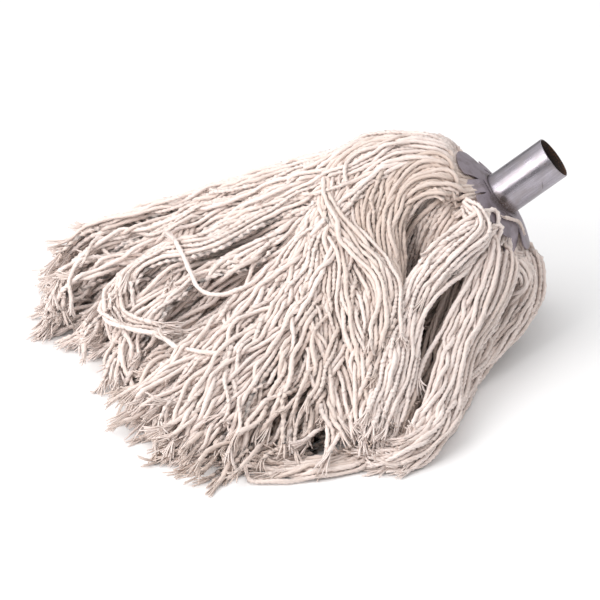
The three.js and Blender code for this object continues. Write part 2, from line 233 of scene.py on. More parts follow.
# Angles are azimuths in plan, in degrees. u runs from 0 to 1 round the ring, from back right to front right
STRAND_R = 1.52
FAN_START, FAN_END = 148.0, 264.0
FRONT_SPREAD = 0.65
RING_START, RING_END = 30.0, 340.0
WRAP_FROM, WRAP_TO = 38.0, 84.0
SKIRT_R = 41.6
TIP_HEIGHT = 9.0
RIDGE_U, RIDGE_HALF, RIDGE_RISE = 0.3, 0.45, 14.0
REACHES = [204, 218, 234, 247, 248, 246, 218, 224, 237, 245, 213, 176]
SECTORS = len(REACHES)
LOW_SIDE_RISE = 14.0
HOLLOW_SHARE = 0.62


def mix(a, b, t):
    return a + (b - a) * t


def smooth(x):
    x = np.clip(x, 0, 1)
    return x * x * (3 - 2 * x)


def hump(u, middle, half):
    """1 at the middle, falling smoothly to 0 at half to either side."""
    return smooth(1 - abs(u - middle) / half)


def ring_angle(u):
    """Where a strand leaves the ring."""
    return mix(RING_START, RING_END, u)


def tip_angle(u):
    """Where its tip lies."""
    return mix(FAN_START, FAN_END, mix(u, u * u, FRONT_SPREAD))


def wrapped(r):
    """Share of the turn from the one to the other that a strand has made at a distance r."""
    return 1 - (1 - np.clip((r - WRAP_FROM) / (WRAP_TO - WRAP_FROM), 0, 1)) ** 2


def top_height(u, r, reach):
    """Height of the yarn's upper surface, u round the ring and r from the neck."""
    along = np.clip((r - WRAP_FROM) / (reach - WRAP_FROM), 0, 1)
    rise = np.radians(14 - 40 * np.cos(np.radians(ring_angle(u))))
    exit_height = NECK_Z + SKIRT_R * np.sin(rise)
    fall = mix(0.95, 1.35, smooth((u - 0.25) / 0.5))
    ridge = hump(u, RIDGE_U, RIDGE_HALF) * smooth((r - 20) / 40) * (1 - along ** 2)
    return mix(exit_height, TIP_HEIGHT, 1 - (1 - along) ** fall) + RIDGE_RISE * ridge


def base_height(azimuth, r):
    """Height of the yarn's underside, off the floor only where strands leave the plate's low side."""
    return LOW_SIDE_RISE * max(0.0, math.cos(math.radians(azimuth))) ** 0.6 * (1 - wrapped(r))


def hollow(u, r):
    """Share of their height that the fan's strands keep: they lie low under the front, beside the neck."""
    front = smooth((u - 0.5) / 0.12)
    return 1 - HOLLOW_SHARE * front * (1 - smooth((r - 78) / 50))


def tip_reach(u):
    """How far the strands' ends lie from the neck: mostly a little inside the ends of the CAD hanks."""
    reach = np.interp(u * SECTORS - 0.5, range(SECTORS), REACHES) - 6
    far_left = 6 * hump(u, 0.36, 0.14)
    lower_left = 8 * hump(u, 0.75, 0.08)
    inlet = 14 * hump(u, 0.58, 0.13)
    back = 12 * (1 - smooth(u / 0.25))
    return reach + far_left + lower_left - inlet - back - 13 * smooth((u - 0.78) / 0.06)


def fan_painted_light(u):
    """Painted light and shade: pale on the lit left of the pile, darker and warmer to its shaded front right."""
    pale = 1 - smooth((u - 0.45) / 0.4)
    return (0.05 + 0.65 * pale, 0.4 + 0.6 * pale)


def hank_piece(azimuth, upper):
    """The hank whose strands leave the neck at this azimuth."""
    u = np.clip((azimuth % 360 - RING_START) / (RING_END - RING_START), 0, 0.999)
    return f"{'upper' if upper else 'lower'}_hank_{int(u * SECTORS) + 1:02d}"


# ---- paths and their swings

STEP = 2.6  # between a path's points
CRIMP = 0.45  # height of the yarn's own short kinks
CRIMP_WAVES = (15, 10.5)
SPINE_AZIMUTH = 205  # the way that the pile runs from the neck
SPINE_DEPTH = 60.0  # of the line that its strands lie about, below the floor
SEED = 7
rng = np.random.default_rng(SEED)


def between(a, b, start, end, t):
    """From a at start to b at end, in a straight line."""
    return (end - t) / (end - start) * a + (t - start) / (end - start) * b


def spacings(path):
    """The lengths between a path's points."""
    return np.linalg.norm(np.diff(path, axis=0), axis=1)


def running(lengths):
    """Each point's place along a path, from the lengths between them."""
    return np.concatenate([[0], np.cumsum(lengths)])


def spline(points, step):
    """A smooth curve through points, sampled every step along its length."""
    p = np.asarray(points, float)
    p = np.vstack([2 * p[0] - p[1], p, 2 * p[-1] - p[-2]])
    knots = running(spacings(p) ** 0.5)
    curve = []
    for i in range(1, len(p) - 2):
        t = np.linspace(knots[i], knots[i + 1], 24, endpoint=i == len(p) - 3)[:, None]
        t0, t1, t2, t3 = knots[i - 1:i + 3]
        before = between(p[i - 1], p[i], t0, t1, t)
        here = between(p[i], p[i + 1], t1, t2, t)
        after = between(p[i + 1], p[i + 2], t2, t3, t)
        curve.append(between(between(before, here, t0, t2, t), between(here, after, t1, t3, t), t1, t2, t))
    return resampled(np.vstack(curve), step)


def resampled(path, step):
    """The path with its points evenly spaced."""
    along = running(spacings(path))
    count = max(4, int(round(along[-1] / step)) + 1)
    at = np.linspace(0, along[-1], count)
    return np.stack([np.interp(at, along, path[:, k]) for k in range(3)], axis=1)


def wave(points, amplitude, wavelengths, curl=0.0):
    """A smooth random swing sideways and upward, for so many points of a strand. It grows from nothing at
    the root, and curl makes it wilder towards the last point."""
    s = np.arange(points) * STEP
    swing = np.zeros((points, 2))
    for wavelength in wavelengths:
        for k in (0, 1):
            size = amplitude * rng.uniform(0.4, 1.0) * wavelength / max(wavelengths)
            turn = 2 * math.pi * s / (wavelength * rng.uniform(0.8, 1.25))
            swing[:, k] += size * np.sin(turn + rng.uniform(0, 2 * math.pi))
    wilder = 1 + curl * (s / s[-1]) ** 3
    return swing * (smooth((s - 25) / 60) * wilder)[:, None]


def outward(points):
    """The way out of the pile of yarn at each point."""
    turn = math.radians(SPINE_AZIMUTH)
    spine = np.array([math.cos(turn), math.sin(turn), 0])
    along = np.maximum(points @ spine, 0)
    inner = along[:, None] * spine - np.array([0, 0, SPINE_DEPTH])
    out = points - inner
    return out / np.linalg.norm(out, axis=1)[:, None]


def sideways(points):
    """Across a path, level with the pile's surface, and up out of it."""
    tangent = np.gradient(points, axis=0)
    tangent /= np.linalg.norm(tangent, axis=1)[:, None]
    side = np.cross(tangent, outward(points))
    side /= np.maximum(np.linalg.norm(side, axis=1), 0.2)[:, None]
    return side, np.cross(side, tangent)


def shaken(path, swing):
    """The path with a swing added, across it and, less, out of the pile. Its last value is held."""
    side, up = sideways(path)
    swing = swing[np.minimum(np.arange(len(path)), len(swing) - 1)]
    return path + side * swing[:, :1] + up * 0.6 * swing[:, 1:]


def crimped(path):
    """The path with the short kinks of twisted yarn."""
    return shaken(path, wave(130, CRIMP, CRIMP_WAVES))


def cut_short(path, shortest):
    """The path, cut at random to between a shortest share of its length and all of it."""
    return path[:int(len(path) * rng.uniform(shortest, 1))]


def root_points(angle, depth):
    """Where a strand comes out of the clamp; depth 0 lies against the petals and 1 is the lowest."""
    return [
        under_plate(angle, 15, 3.4 + 10.6 * depth),
        under_plate(angle, 25, 5.6 + 15.4 * depth),
        under_plate(angle, 35, 9.4 + 23 * depth),
    ]


# ---- the loose strands


class Strands:
    """Every strand's path, the piece that it belongs to and its shade."""

    def __init__(self):
        self.paths, self.pieces, self.tones, self.above, self.fine = [], [], [], [], []

    def add(self, path, piece, tone, above=False, fine=True):
        """tone is a range of shades; above tells that the strand may lie on the plate, and fine that it is
        seen enough to need its plies."""
        self.paths.append(path)
        self.pieces.append(piece)
        self.tones.append(rng.uniform(*tone))
        self.above.append(above)
        self.fine.append(fine)


strands = Strands()


def fan_route(u, h, reach, turn, lift):
    """Points of a strand that leaves the ring at u and lies at a share h of the fan's height."""
    azimuth = ring_angle(u)
    root = plate_angle(azimuth) + rng.normal(0, 3)
    points = root_points(root, 1 - min(h, 0.99) * hollow(u, 0))
    for r in np.concatenate([[52, 66], np.arange(84, reach - 8, 30), [reach]]):
        angle = np.radians(mix(azimuth, tip_angle(u) + turn * (r / reach), wrapped(r)))
        top = top_height(u, r, max(reach, 150))
        z = mix(base_height(azimuth, r) + STRAND_R, top, h * hollow(u, r)) + lift * smooth((r - 60) / 60)
        points.append([r * np.cos(angle), r * np.sin(angle), z])
    return points


def add_fan(tufts, per_tuft, levels, start=0.0, end=1.0, shortest=0.9, rough=1.0, lift=0.0):
    """Strands that follow the fan, in tufts that swing together."""
    for tuft in range(tufts):
        u0 = mix(start, end, (tuft + rng.uniform(0.1, 0.9)) / tufts)
        level = rng.uniform(*levels)
        tuft_swing = wave(130, 6.2 * rough, (150, 90))
        tuft_reach = rng.uniform(shortest, 1.0)
        tuft_turn = rng.normal(0, 4.0 * rough)
        for _ in range(per_tuft):
            u = np.clip(u0 + rng.normal(0, 0.02), 0.0, 1.0)
            h = max(level + rng.normal(0, 0.05), 0.02)
            reach = tip_reach(u) * tuft_reach * rng.uniform(0.94, 1.0)
            turn = np.clip(tuft_turn + rng.normal(0, 2.5), -50 * u, 60 * (0.92 - u))
            path = shaken(spline(fan_route(u, h, reach, turn, lift), STEP), tuft_swing)
            path = shaken(path, wave(100, 2.4 * rough, (70, 38), curl=1.6))
            path = shaken(path, wave(100, 0.9 * rough, (26, 18)))
            strands.add(crimped(path), hank_piece(ring_angle(u), h > 0.66), fan_painted_light(u), fine=h > 0.45)


def add_lock(root, depth, widths, thick, count, rough, tone, points, shorten=0.12):
    """A lock of strands along one route of points."""
    guide = np.array(points, float)
    side, up = sideways(np.vstack([under_plate(np.mean(root), 35, 14), guide]))
    side, up = side[1:], up[1:]
    width = np.interp(np.linspace(0, 1, len(guide)), [0, 0.5, 1], widths)
    lock_swing = wave(140, 1.5 * rough, (130, 80))
    for k in range(count):
        across = (2 * (k + rng.uniform(0.1, 0.9)) / count) - 1
        height = rng.uniform(-1, 0.6)
        angle = mix(root[0], root[1], (1 - across) / 2)
        inner = root_points(angle, mix(depth[0], depth[1], (0.6 - height) / 1.6))
        shift = side * (across * width / 2)[:, None] + up * height * thick / 2
        path = shaken(spline(inner + list(guide + shift), STEP), lock_swing)
        stray = 2.2 if rng.uniform() < 0.12 else 1.0
        path = shaken(path, wave(110, 1.6 * rough * stray, (75, 40), curl=1.0))
        path = crimped(shaken(path, wave(110, 0.7 * rough, (26, 18))))
        path = path[:int(len(path) * (1 - rng.uniform(0, shorten)))]
        strands.add(path, hank_piece(plan_azimuth(angle), height > -0.2), tone, fine=height > -0.6)


# Each lock says, in order: the plate's angles at its two sides, the first on the side that points to the
# left of its run; how deep its top and bottom strands come out of the clamp; its widths at the plate, in the
# middle and at its tip; its thickness; its number of strands; how rough it lies; its range of shades, which
# also paints light and shade (pale on the lit left and in the bright bundle, painted lighter on the shaded
# front right, darkest in the hollow); its route; and, where it isn't the usual one, the share by which its
# strands are cut short.
LOCKS = [
    # the ridge, from the back of the plate to the far left
    ((165, 120), (0, 0.5), (18, 20, 26), 6, 16, 1.3, (0.5, 1), [(-28, 23, 105), (-48, 23, 104),
      (-66, 28, 96), (-102, 43, 80), (-142, 51, 61), (-185, 53, 44), (-225, 46, 27), (-243, 30, 12)]),
    ((178, 150), (0, 0.4), (14, 20, 30), 6, 15, 1.5, (0.5, 1), [(-28, 12, 105), (-48, 8, 106), (-75, 11, 97),
      (-105, 20, 83), (-140, 28, 66), (-175, 30, 49), (-208, 24, 34), (-234, 2, 14)]),
    ((185, 160), (0.1, 0.5), (12, 14, 14), 6, 12, 1.3, (0.5, 1), [(-34, 5, 104), (-58, 3, 104), (-86, 8, 93),
      (-115, 16, 79), (-140, 22, 68), (-157, 17, 60), (-164, 0, 52), (-168, -20, 42), (-176, -38, 30),
      (-186, -60, 18)], 0.2),
    # the far left, where the pile's ends curve down to the floor
    ((182, 155), (0.1, 0.5), (14, 20, 32), 8, 18, 1.4, (0.6, 1), [(-40, 9, 105), (-75, 15, 98),
      (-118, 30, 79), (-158, 42, 60), (-194, 50, 45), (-221, 51, 31), (-240, 43, 17)]),
    ((190, 165), (0.2, 0.7), (14, 24, 32), 8, 18, 1.5, (0.6, 1), [(-42, 4, 102), (-85, 8, 90),
      (-130, 15, 71), (-170, 20, 54), (-205, 22, 38), (-230, 10, 24), (-238, -10, 14), (-238, -22, 8)]),
    # left of the parting
    ((190, 170), (0.1, 0.6), (12, 18, 24), 7, 14, 2.0, (0.65, 1), [(-40, 0, 104), (-72, -8, 92),
      (-97, -6, 82), (-125, -7, 69), (-152, -7, 57), (-180, -5, 44), (-200, -18, 31), (-202, -44, 15),
      (-197, -58, 7)]),
    ((188, 150), (0.3, 0.8), (14, 22, 26), 7, 14, 1.9, (0.65, 1), [(-45, 8, 96), (-80, 6, 86),
      (-120, 10, 70), (-160, 12, 53), (-195, 10, 38), (-226, 2, 24), (-236, -14, 13), (-236, -26, 7)]),
    ((195, 175), (0.1, 0.6), (12, 18, 26), 7, 14, 2.2, (0.65, 1), [(-45, -2, 102), (-75, -15, 88),
      (-102, -20, 73), (-130, -27, 58), (-158, -34, 44), (-184, -46, 29), (-197, -68, 16), (-196, -93, 6)]),
    ((198, 178), (0.1, 0.6), (12, 18, 28), 7, 14, 2.2, (0.65, 1), [(-45, -4, 101), (-76, -20, 86),
      (-97, -37, 69), (-119, -60, 52), (-141, -84, 38), (-165, -110, 24), (-184, -128, 8)]),
    ((200, 180), (0.1, 0.6), (12, 18, 28), 7, 14, 2.2, (0.65, 1), [(-45, -6, 100), (-75, -22, 85),
      (-91, -50, 65), (-108, -80, 48), (-130, -112, 33), (-150, -138, 19), (-165, -158, 6)]),
    ((202, 182), (0.1, 0.6), (12, 18, 28), 7, 14, 2.0, (0.3, 0.85), [(-45, -8, 99), (-73, -27, 82),
      (-83, -59, 62), (-97, -91, 47), (-108, -124, 33), (-122, -150, 19), (-134, -172, 5)]),
    ((204, 184), (0.1, 0.6), (12, 18, 26), 7, 13, 1.8, (0.3, 0.9), [(-45, -10, 98), (-70, -30, 80),
      (-76, -68, 58), (-82, -104, 41), (-90, -138, 26), (-100, -168, 6)]),
    # the lower left, where the ends lie thickest
    ((198, 180), (0.1, 0.6), (12, 20, 34), 8, 18, 1.6, (0.65, 1), [(-45, -5, 99), (-76, -24, 82),
      (-98, -46, 64), (-122, -74, 47), (-148, -100, 33), (-170, -119, 20), (-186, -132, 8)], 0.05),
    ((200, 182), (0.1, 0.6), (12, 20, 34), 8, 18, 1.6, (0.65, 1), [(-45, -7, 98), (-75, -27, 80),
      (-93, -56, 60), (-112, -88, 44), (-136, -120, 30), (-156, -146, 18), (-171, -164, 8)], 0.05),
    # an eddy in the left of the pile, where strands turn back to the front
    ((192, 172), (0, 0.4), (12, 16, 24), 6, 16, 0.9, (0.7, 1), [(-42, 2, 106), (-75, -5, 95),
      (-110, -10, 79), (-144, -20, 63), (-174, -10, 51), (-193, -14, 40), (-197, -31, 30), (-186, -52, 29),
      (-164, -69, 36), (-146, -78, 38)], 0.3),
    # the front drape, which falls from the parting
    ((190, 168), (0, 0.4), (10, 16, 12), 6, 17, 1.1, (0.3, 0.9), [(-41, 5, 107), (-58, 1, 105),
      (-70, -6, 98), (-77, -18, 89), (-76, -37, 77), (-70, -62, 63), (-64, -93, 48), (-61, -128, 30),
      (-60, -158, 13)]),
    ((188, 172), (0, 0.3), (9, 12, 12), 6, 13, 1.2, (0.4, 0.9), [(-45, 3, 108), (-62, 0, 106),
      (-73, -4, 101), (-77, -16, 93), (-72, -36, 83), (-61, -54, 75), (-52, -69, 65), (-48, -86, 53),
      (-51, -105, 42), (-58, -128, 30)]),
    ((192, 174), (0.1, 0.5), (9, 14, 20), 6, 13, 1.5, (0.4, 0.9), [(-45, 2, 104), (-62, 0, 102),
      (-75, -13, 91), (-84, -33, 77), (-89, -60, 60), (-90, -90, 46), (-82, -120, 33), (-74, -148, 20),
      (-72, -172, 6)]),
    # the arcs that leave the plate's left edge and fall to the front
    ((205, 180), (0, 0.25), (12, 11, 18), 5, 15, 0.8, (0, 0.3), [(-24, 6, 105), (-40, 4, 105),
      (-53, -9, 100), (-61, -21, 91), (-62, -39, 78), (-58, -62, 61), (-53, -90, 44), (-52, -122, 29),
      (-58, -158, 12)]),
    ((214, 194), (0, 0.25), (12, 11, 16), 5, 15, 0.8, (0, 0.3), [(-20, -4, 104), (-35, -4, 103),
      (-49, -18, 98), (-54, -33, 85), (-52, -54, 67), (-47, -76, 50), (-44, -106, 34), (-49, -138, 20),
      (-58, -164, 8)]),
    ((224, 204), (0, 0.3), (11, 10, 14), 5, 14, 0.8, (0, 0.3), [(-16, -17, 102), (-29, -16, 102),
      (-42, -25, 95), (-48, -39, 82), (-48, -54, 65), (-46, -76, 48), (-46, -100, 35), (-48, -128, 22),
      (-52, -152, 10)]),
    ((232, 214), (0, 0.35), (9, 7, 14), 4, 9, 0.7, (0, 0.5), [(-13, -26, 99), (-27, -23, 99), (-40, -27, 92),
      (-49, -38, 79), (-50, -55, 62), (-48, -77, 45), (-47, -104, 30), (-51, -136, 15)]),
    ((232, 210), (0.5, 0.9), (12, 9, 16), 8, 5, 0.9, (0, 0.3), [(-22, -18, 84), (-32, -20, 82),
      (-42, -28, 72), (-47, -44, 56), (-47, -64, 40), (-46, -92, 26), (-47, -124, 14), (-52, -150, 5)]),
    # the bright bundle over the front of the neck: its pale shades are a painted highlight
    ((268, 232), (0, 0.35), (15, 13, 17), 9, 26, 0.8, (0.9, 1), [(2, -41, 83), (-10, -50, 77),
      (-22, -58, 69), (-33, -67, 60), (-39, -84, 48), (-41, -104, 39), (-47, -126, 29), (-54, -147, 20),
      (-54, -164, 10)]),
    # what lies deep in the hollow beside it, in dark shades that paint the hollow's shade
    ((272, 244), (0.5, 0.95), (15, 18, 24), 10, 16, 1.0, (0, 0.25), [(-6, -42, 52), (-14, -62, 34),
      (-24, -90, 20), (-34, -114, 11), (-46, -136, 6), (-62, -152, 4)]),
    # the front right, round to the far side of the plate
    ((290, 265), (0, 0.4), (15, 12, 13), 8, 15, 0.9, (0.7, 1), [(6, -42, 70), (2, -53, 58), (-4, -67, 47),
      (-9, -84, 38), (-15, -106, 30), (-22, -130, 22), (-30, -150, 15), (-42, -163, 8), (-58, -164, 6)]),
    ((312, 288), (0, 0.5), (15, 12, 13), 8, 15, 0.9, (0.6, 1), [(17, -36, 64), (12, -50, 50), (4, -64, 39),
      (-5, -80, 30), (-14, -110, 24), (-22, -142, 16), (-33, -161, 9), (-48, -166, 5), (-66, -165, 5)]),
    ((345, 310), (0, 0.5), (15, 13, 12), 8, 17, 0.9, (0.55, 1), [(23, -30, 60), (29, -27, 48), (27, -28, 34),
      (20, -40, 26), (10, -55, 20), (-3, -72, 15), (-13, -96, 11), (-22, -126, 8), (-31, -150, 6),
      (-44, -161, 4), (-62, -162, 4)]),
    ((375, 340), (0, 0.6), (14, 12, 12), 8, 15, 0.8, (0.5, 0.95), [(30, -8, 54), (33, -17, 42),
      (28, -28, 26), (13, -38, 13), (0, -50, 8), (-12, -80, 6), (-21, -110, 5), (-31, -137, 4),
      (-43, -155, 3), (-57, -160, 3), (-74, -156, 4)]),
]


def add_under_neck():
    """Strands that drop under the neck and lie in the pile's foot."""
    for k in range(16):
        across = -14 + 1.9 * k
        points = root_points(-40 + 5 * k, 0.9) + [(25, across, 38), (18, across, 16), (0, across, 5)]
        points += [(-40, across - 8, 4), (-90, across - 30, 4)]
        path = shaken(spline(points, STEP), wave(150, 2.0, (90, 50)))
        strands.add(cut_short(path, 0.6), "hank_under_neck", (0, 0.5), fine=False)


def add_under_layer():
    """Strands that run out level on the floor from under the front drape."""
    for k in range(14):
        out = 2.6 * k
        far = 0.5 * out
        points = root_points(300 + 2 * k, 0.95)
        points += [(5, -52, 22), (-15, -90 - 0.2 * out, 8), (-45, -136 - 0.3 * out, 4), (-70, -154 - far, 3),
                   (-98, -162 - far, 3), (-125, -164 - far, 3), (-150 + 2 * k, -160 - 0.4 * out, 3)]
        path = shaken(spline(points, STEP), wave(150, 2.0, (90, 50)))
        strands.add(cut_short(path, 0.85), hank_piece(300, False), (0.2, 0.7))


def add_back_fall():
    """Strands that drop behind the neck, beside the ones under it, and turn in under the fan."""
    for k in range(44):
        angle = 27 + 2.1 * k
        azimuth = math.radians(plan_azimuth(angle))
        out = np.array([math.cos(azimuth), math.sin(azimuth)])
        bulge = rng.uniform(-4, 3)
        points = root_points(angle, rng.uniform(0.5, 0.9))
        points += [(*(out * (r + bulge)), z) for r, z in ((43, 42), (46, 22), (43, 8))]
        points += [(out[0] * 24 - 16, out[1] * 34 + 6, 4), (-60, 24 + 0.7 * k, 4), (-115, 18 + 0.9 * k, 4)]
        path = crimped(shaken(spline(points, STEP), wave(150, 2.4, (90, 50))))
        strands.add(cut_short(path, 0.7), hank_piece(math.degrees(azimuth), False), (0.2, 0.8))


STRAYS = [
    [(-60, -14, 92), (-98, -36, 70), (-120, -56, 57), (-138, -62, 52), (-151, -55, 51), (-155, -44, 52),
     (-161, -24, 58), (-168, -8, 63)],
    [(-80, 22, 97), (-130, 44, 70), (-180, 52, 49), (-205, 47, 41), (-213, 36, 41), (-209, 18, 42),
     (-202, 4, 42)],
    [(-70, -30, 82), (-86, -66, 62), (-112, -98, 44), (-138, -104, 37), (-160, -94, 35), (-172, -78, 36)],
]

LOOPS = [
    [(-24, -52, 76), (-9, -43, 82), (2, -34, 86), (8, -28, 87), (11, -26, 86.5), (12, -28, 84), (8, -36, 79),
     (0, -48, 70), (-10, -60, 64), (-22, -72, 58), (-34, -88, 48), (-40, -108, 38)],
    [(-16, -58, 68), (-3, -47, 75), (6, -38, 80), (11, -32, 81.5), (13.5, -30, 81), (13, -32, 78),
     (6, -43, 70), (-4, -57, 60), (-12, -70, 50), (-20, -84, 41), (-29, -100, 34), (-36, -118, 28)],
    [(-30, -56, 73), (-17, -48, 80), (-5, -40, 85), (3, -33, 88), (6, -30, 88), (6, -33, 85), (0, -42, 80),
     (-12, -53, 74), (-25, -65, 64), (-34, -80, 53)],
]


def add_strays():
    """Single strands that lie across the others on the left of the pile."""
    for points in STRAYS:
        strands.add(spline(root_points(188, 0.2) + points, STEP), hank_piece(188, True), (0.95, 1))


def add_loops():
    """Hairpins that stand over the plate's front edge, with both legs in the bundle below."""
    for points in LOOPS:
        strands.add(spline(points, STEP), hank_piece(245, True), (0.7, 1), above=True)


add_fan(tufts=30, per_tuft=6, levels=(0.04, 0.72), end=0.88)
add_fan(tufts=9, per_tuft=6, levels=(0.6, 0.95), end=0.32)
add_fan(tufts=16, per_tuft=7, levels=(0.62, 0.85), start=0.3, end=0.66, shortest=0.94, rough=0.8)
add_fan(tufts=28, per_tuft=6, levels=(0.62, 0.98), start=0.26, end=0.8, shortest=0.94)
add_fan(tufts=26, per_tuft=4, levels=(0.85, 1.02), start=0.16, end=0.54, shortest=0.72, rough=1.4, lift=3)
add_under_neck()
add_under_layer()
for lock in LOCKS:
    add_lock(*lock)
add_strays()
add_loops()
add_back_fall()

# ---- settling the strands on each other

CELL = 3.2  # how near two points have to be to count as a pair
ROUNDS = 60
PAIRS_EVERY = 5  # rounds between two searches for pairs
ROOTED = 9  # a strand's first points, which the clamp holds
WEIGHT = 0.05  # how far a point sinks in a round
MEMORY = 0.02  # share of the way back to its laid place
EASE = 0.18  # share of the way to the middle of its neighbours
FLOOR_GAP = 0.45


def close_pairs(points, strand_of, place_of):
    """Pairs of points of different stretches of yarn that lie within a cell's width."""
    cell = np.floor((points - points.min(0)) / CELL).astype(np.int64) + 1
    shape = cell.max(0) + 2
    key = (cell[:, 0] * shape[1] + cell[:, 1]) * shape[2] + cell[:, 2]
    order = np.argsort(key, kind="stable")
    counts = np.bincount(key, minlength=int(shape.prod()))
    starts = np.cumsum(counts) - counts
    left, right = [], []
    index = np.arange(len(points))
    for corner in np.ndindex(3, 3, 3):
        dx, dy, dz = np.array(corner) - 1
        offset = (dx * shape[1] + dy) * shape[2] + dz
        if offset < 0:
            continue
        other = key + offset
        inside = (other >= 0) & (other < len(counts))
        found = np.where(inside, counts[np.minimum(other, len(counts) - 1)], 0)
        for m in range(int(found.max())):
            mine = index[found > m]
            theirs = order[starts[other[mine]] + m]
            keep = mine < theirs if offset == 0 else np.ones(len(mine), bool)
            left.append(mine[keep])
            right.append(theirs[keep])
    a, b = np.concatenate(left), np.concatenate(right)
    near = ((points[a] - points[b]) ** 2).sum(1) < CELL ** 2
    apart = (strand_of[a] != strand_of[b]) | (abs(place_of[a] - place_of[b]) > 3)
    return a[near & apart], b[near & apart]


def off_plate(points, above):
    """Moves points that run into the plate out of it, to its underside or, if they lie above it, its top."""
    local = points - PLATE_CENTRE
    w = local @ AXIS
    radius = np.linalg.norm(local - w[:, None] * AXIS, axis=1)
    degrees = np.degrees(np.arctan2(local @ SIDEWAYS, local @ DOWNHILL))
    surface = -dome_drop(radius) - fold_drop(radius) * (from_narrow(degrees) < NARROW_HALF + 1.5)
    low = surface - SHEET - STRAND_R
    high = surface + STRAND_R
    near = radius < PLATE_R + 1.5
    down = near & ~above & (w > low)
    points = points - (np.where(down, w - low, 0))[:, None] * AXIS
    up = near & above & (w < high) & (w > low - 4)
    return points + (np.where(up, high - w, 0))[:, None] * AXIS


def strand_grid(paths):
    """All the paths in one array, filled up with their last points, and which of its points are used."""
    longest = max(len(p) for p in paths)
    grid = np.zeros((len(paths), longest, 3))
    used = np.zeros((len(paths), longest), bool)
    for i, path in enumerate(paths):
        grid[i, :len(path)] = path
        grid[i, len(path):] = path[-1]
        used[i, :len(path)] = True
    return grid, used


def pushed_apart(points, a, b):
    """The points, with those of each pair that overlap moved apart."""
    gap = points[a] - points[b]
    distance = np.linalg.norm(gap, axis=1)
    depth = 2 * STRAND_R - distance
    hit = depth > 0
    push = gap[hit] * (0.5 * depth[hit] / np.maximum(distance[hit], 1e-6))[:, None]
    moved = np.zeros_like(points)
    touches = np.zeros(len(points))
    for ends, sign in ((a[hit], 1), (b[hit], -1)):
        for k in range(3):
            moved[:, k] += sign * np.bincount(ends, push[:, k], minlength=len(points))
        touches += np.bincount(ends, minlength=len(points))
    return points + moved / np.maximum(touches, 1)[:, None] ** 0.5


def keep_lengths(grid, rest, both):
    """Moves neighbours along each strand back to the distance that they had at first."""
    for first in (0, 1):
        a_end, b_end = grid[:, first:-1:2], grid[:, first + 1::2]
        delta = b_end - a_end
        now = np.linalg.norm(delta, axis=2)
        stretch = now - rest[:, first::2]
        fix = (0.5 * stretch / np.maximum(now, 1e-6) * both[:, first::2])[..., None] * delta
        a_end += fix
        b_end -= fix


def settle(strands):
    """Pushes strands apart where they run into each other, keeping their lengths and easing their bends."""
    grid, used = strand_grid(strands.paths)
    target = grid.copy()
    above = np.array(strands.above)
    strand_of, place_of = np.nonzero(used)
    free = (place_of >= ROOTED) | above[strand_of]
    strand_of, place_of = strand_of[free], place_of[free]
    rest = np.linalg.norm(np.diff(grid, axis=1), axis=2)
    both = used[:, 1:] & used[:, :-1]
    for turn in range(ROUNDS):
        points = grid[strand_of, place_of]
        if turn % PAIRS_EVERY == 0:
            a, b = close_pairs(points, strand_of, place_of)
        points = pushed_apart(points, a, b)
        points[:, 2] = np.maximum(points[:, 2] - WEIGHT, STRAND_R + FLOOR_GAP)
        grid[strand_of, place_of] = off_plate(points, above[strand_of])
        grid += MEMORY * (target - grid)
        keep_lengths(grid, rest, both)
        middle = (grid[:, :-2] + grid[:, 2:]) / 2 - grid[:, 1:-1]
        grid[:, 1:-1] += EASE * middle * (used[:, 2:] & used[:, 1:-1])[..., None]
        grid[~above, :ROOTED] = target[~above, :ROOTED]
    for i, path in enumerate(strands.paths):
        strands.paths[i] = grid[i, :len(path)].copy()


settle(strands)

# ---- strands to meshes

DRAW_STEP = 2.7  # between the rings of a fine strand
COARSE_STEP = 4.4  # and of one that is mostly hidden
PLIES = 3
AROUND = 6
LOBE_DEPTH = 0.28
SHADE_SHIFT = 977.0  # moves each strand's surface pattern on by its shade, so that no two are alike
TIP_POINTS = 4


def rings(path):
    """Tangent, normal and binormal along a path, without twist."""
    tangent = np.gradient(path, axis=0)
    tangent /= np.maximum(np.linalg.norm(tangent, axis=1), 1e-9)[:, None]
    normal = np.zeros_like(path)
    start = np.cross(tangent[0], [0.3, 0.2, 0.93])
    normal[0] = start / np.linalg.norm(start)
    for i in range(1, len(path)):
        n = normal[i - 1] - tangent[i] * (normal[i - 1] @ tangent[i])
        normal[i] = n / np.linalg.norm(n)
    return tangent, normal, np.cross(tangent, normal)


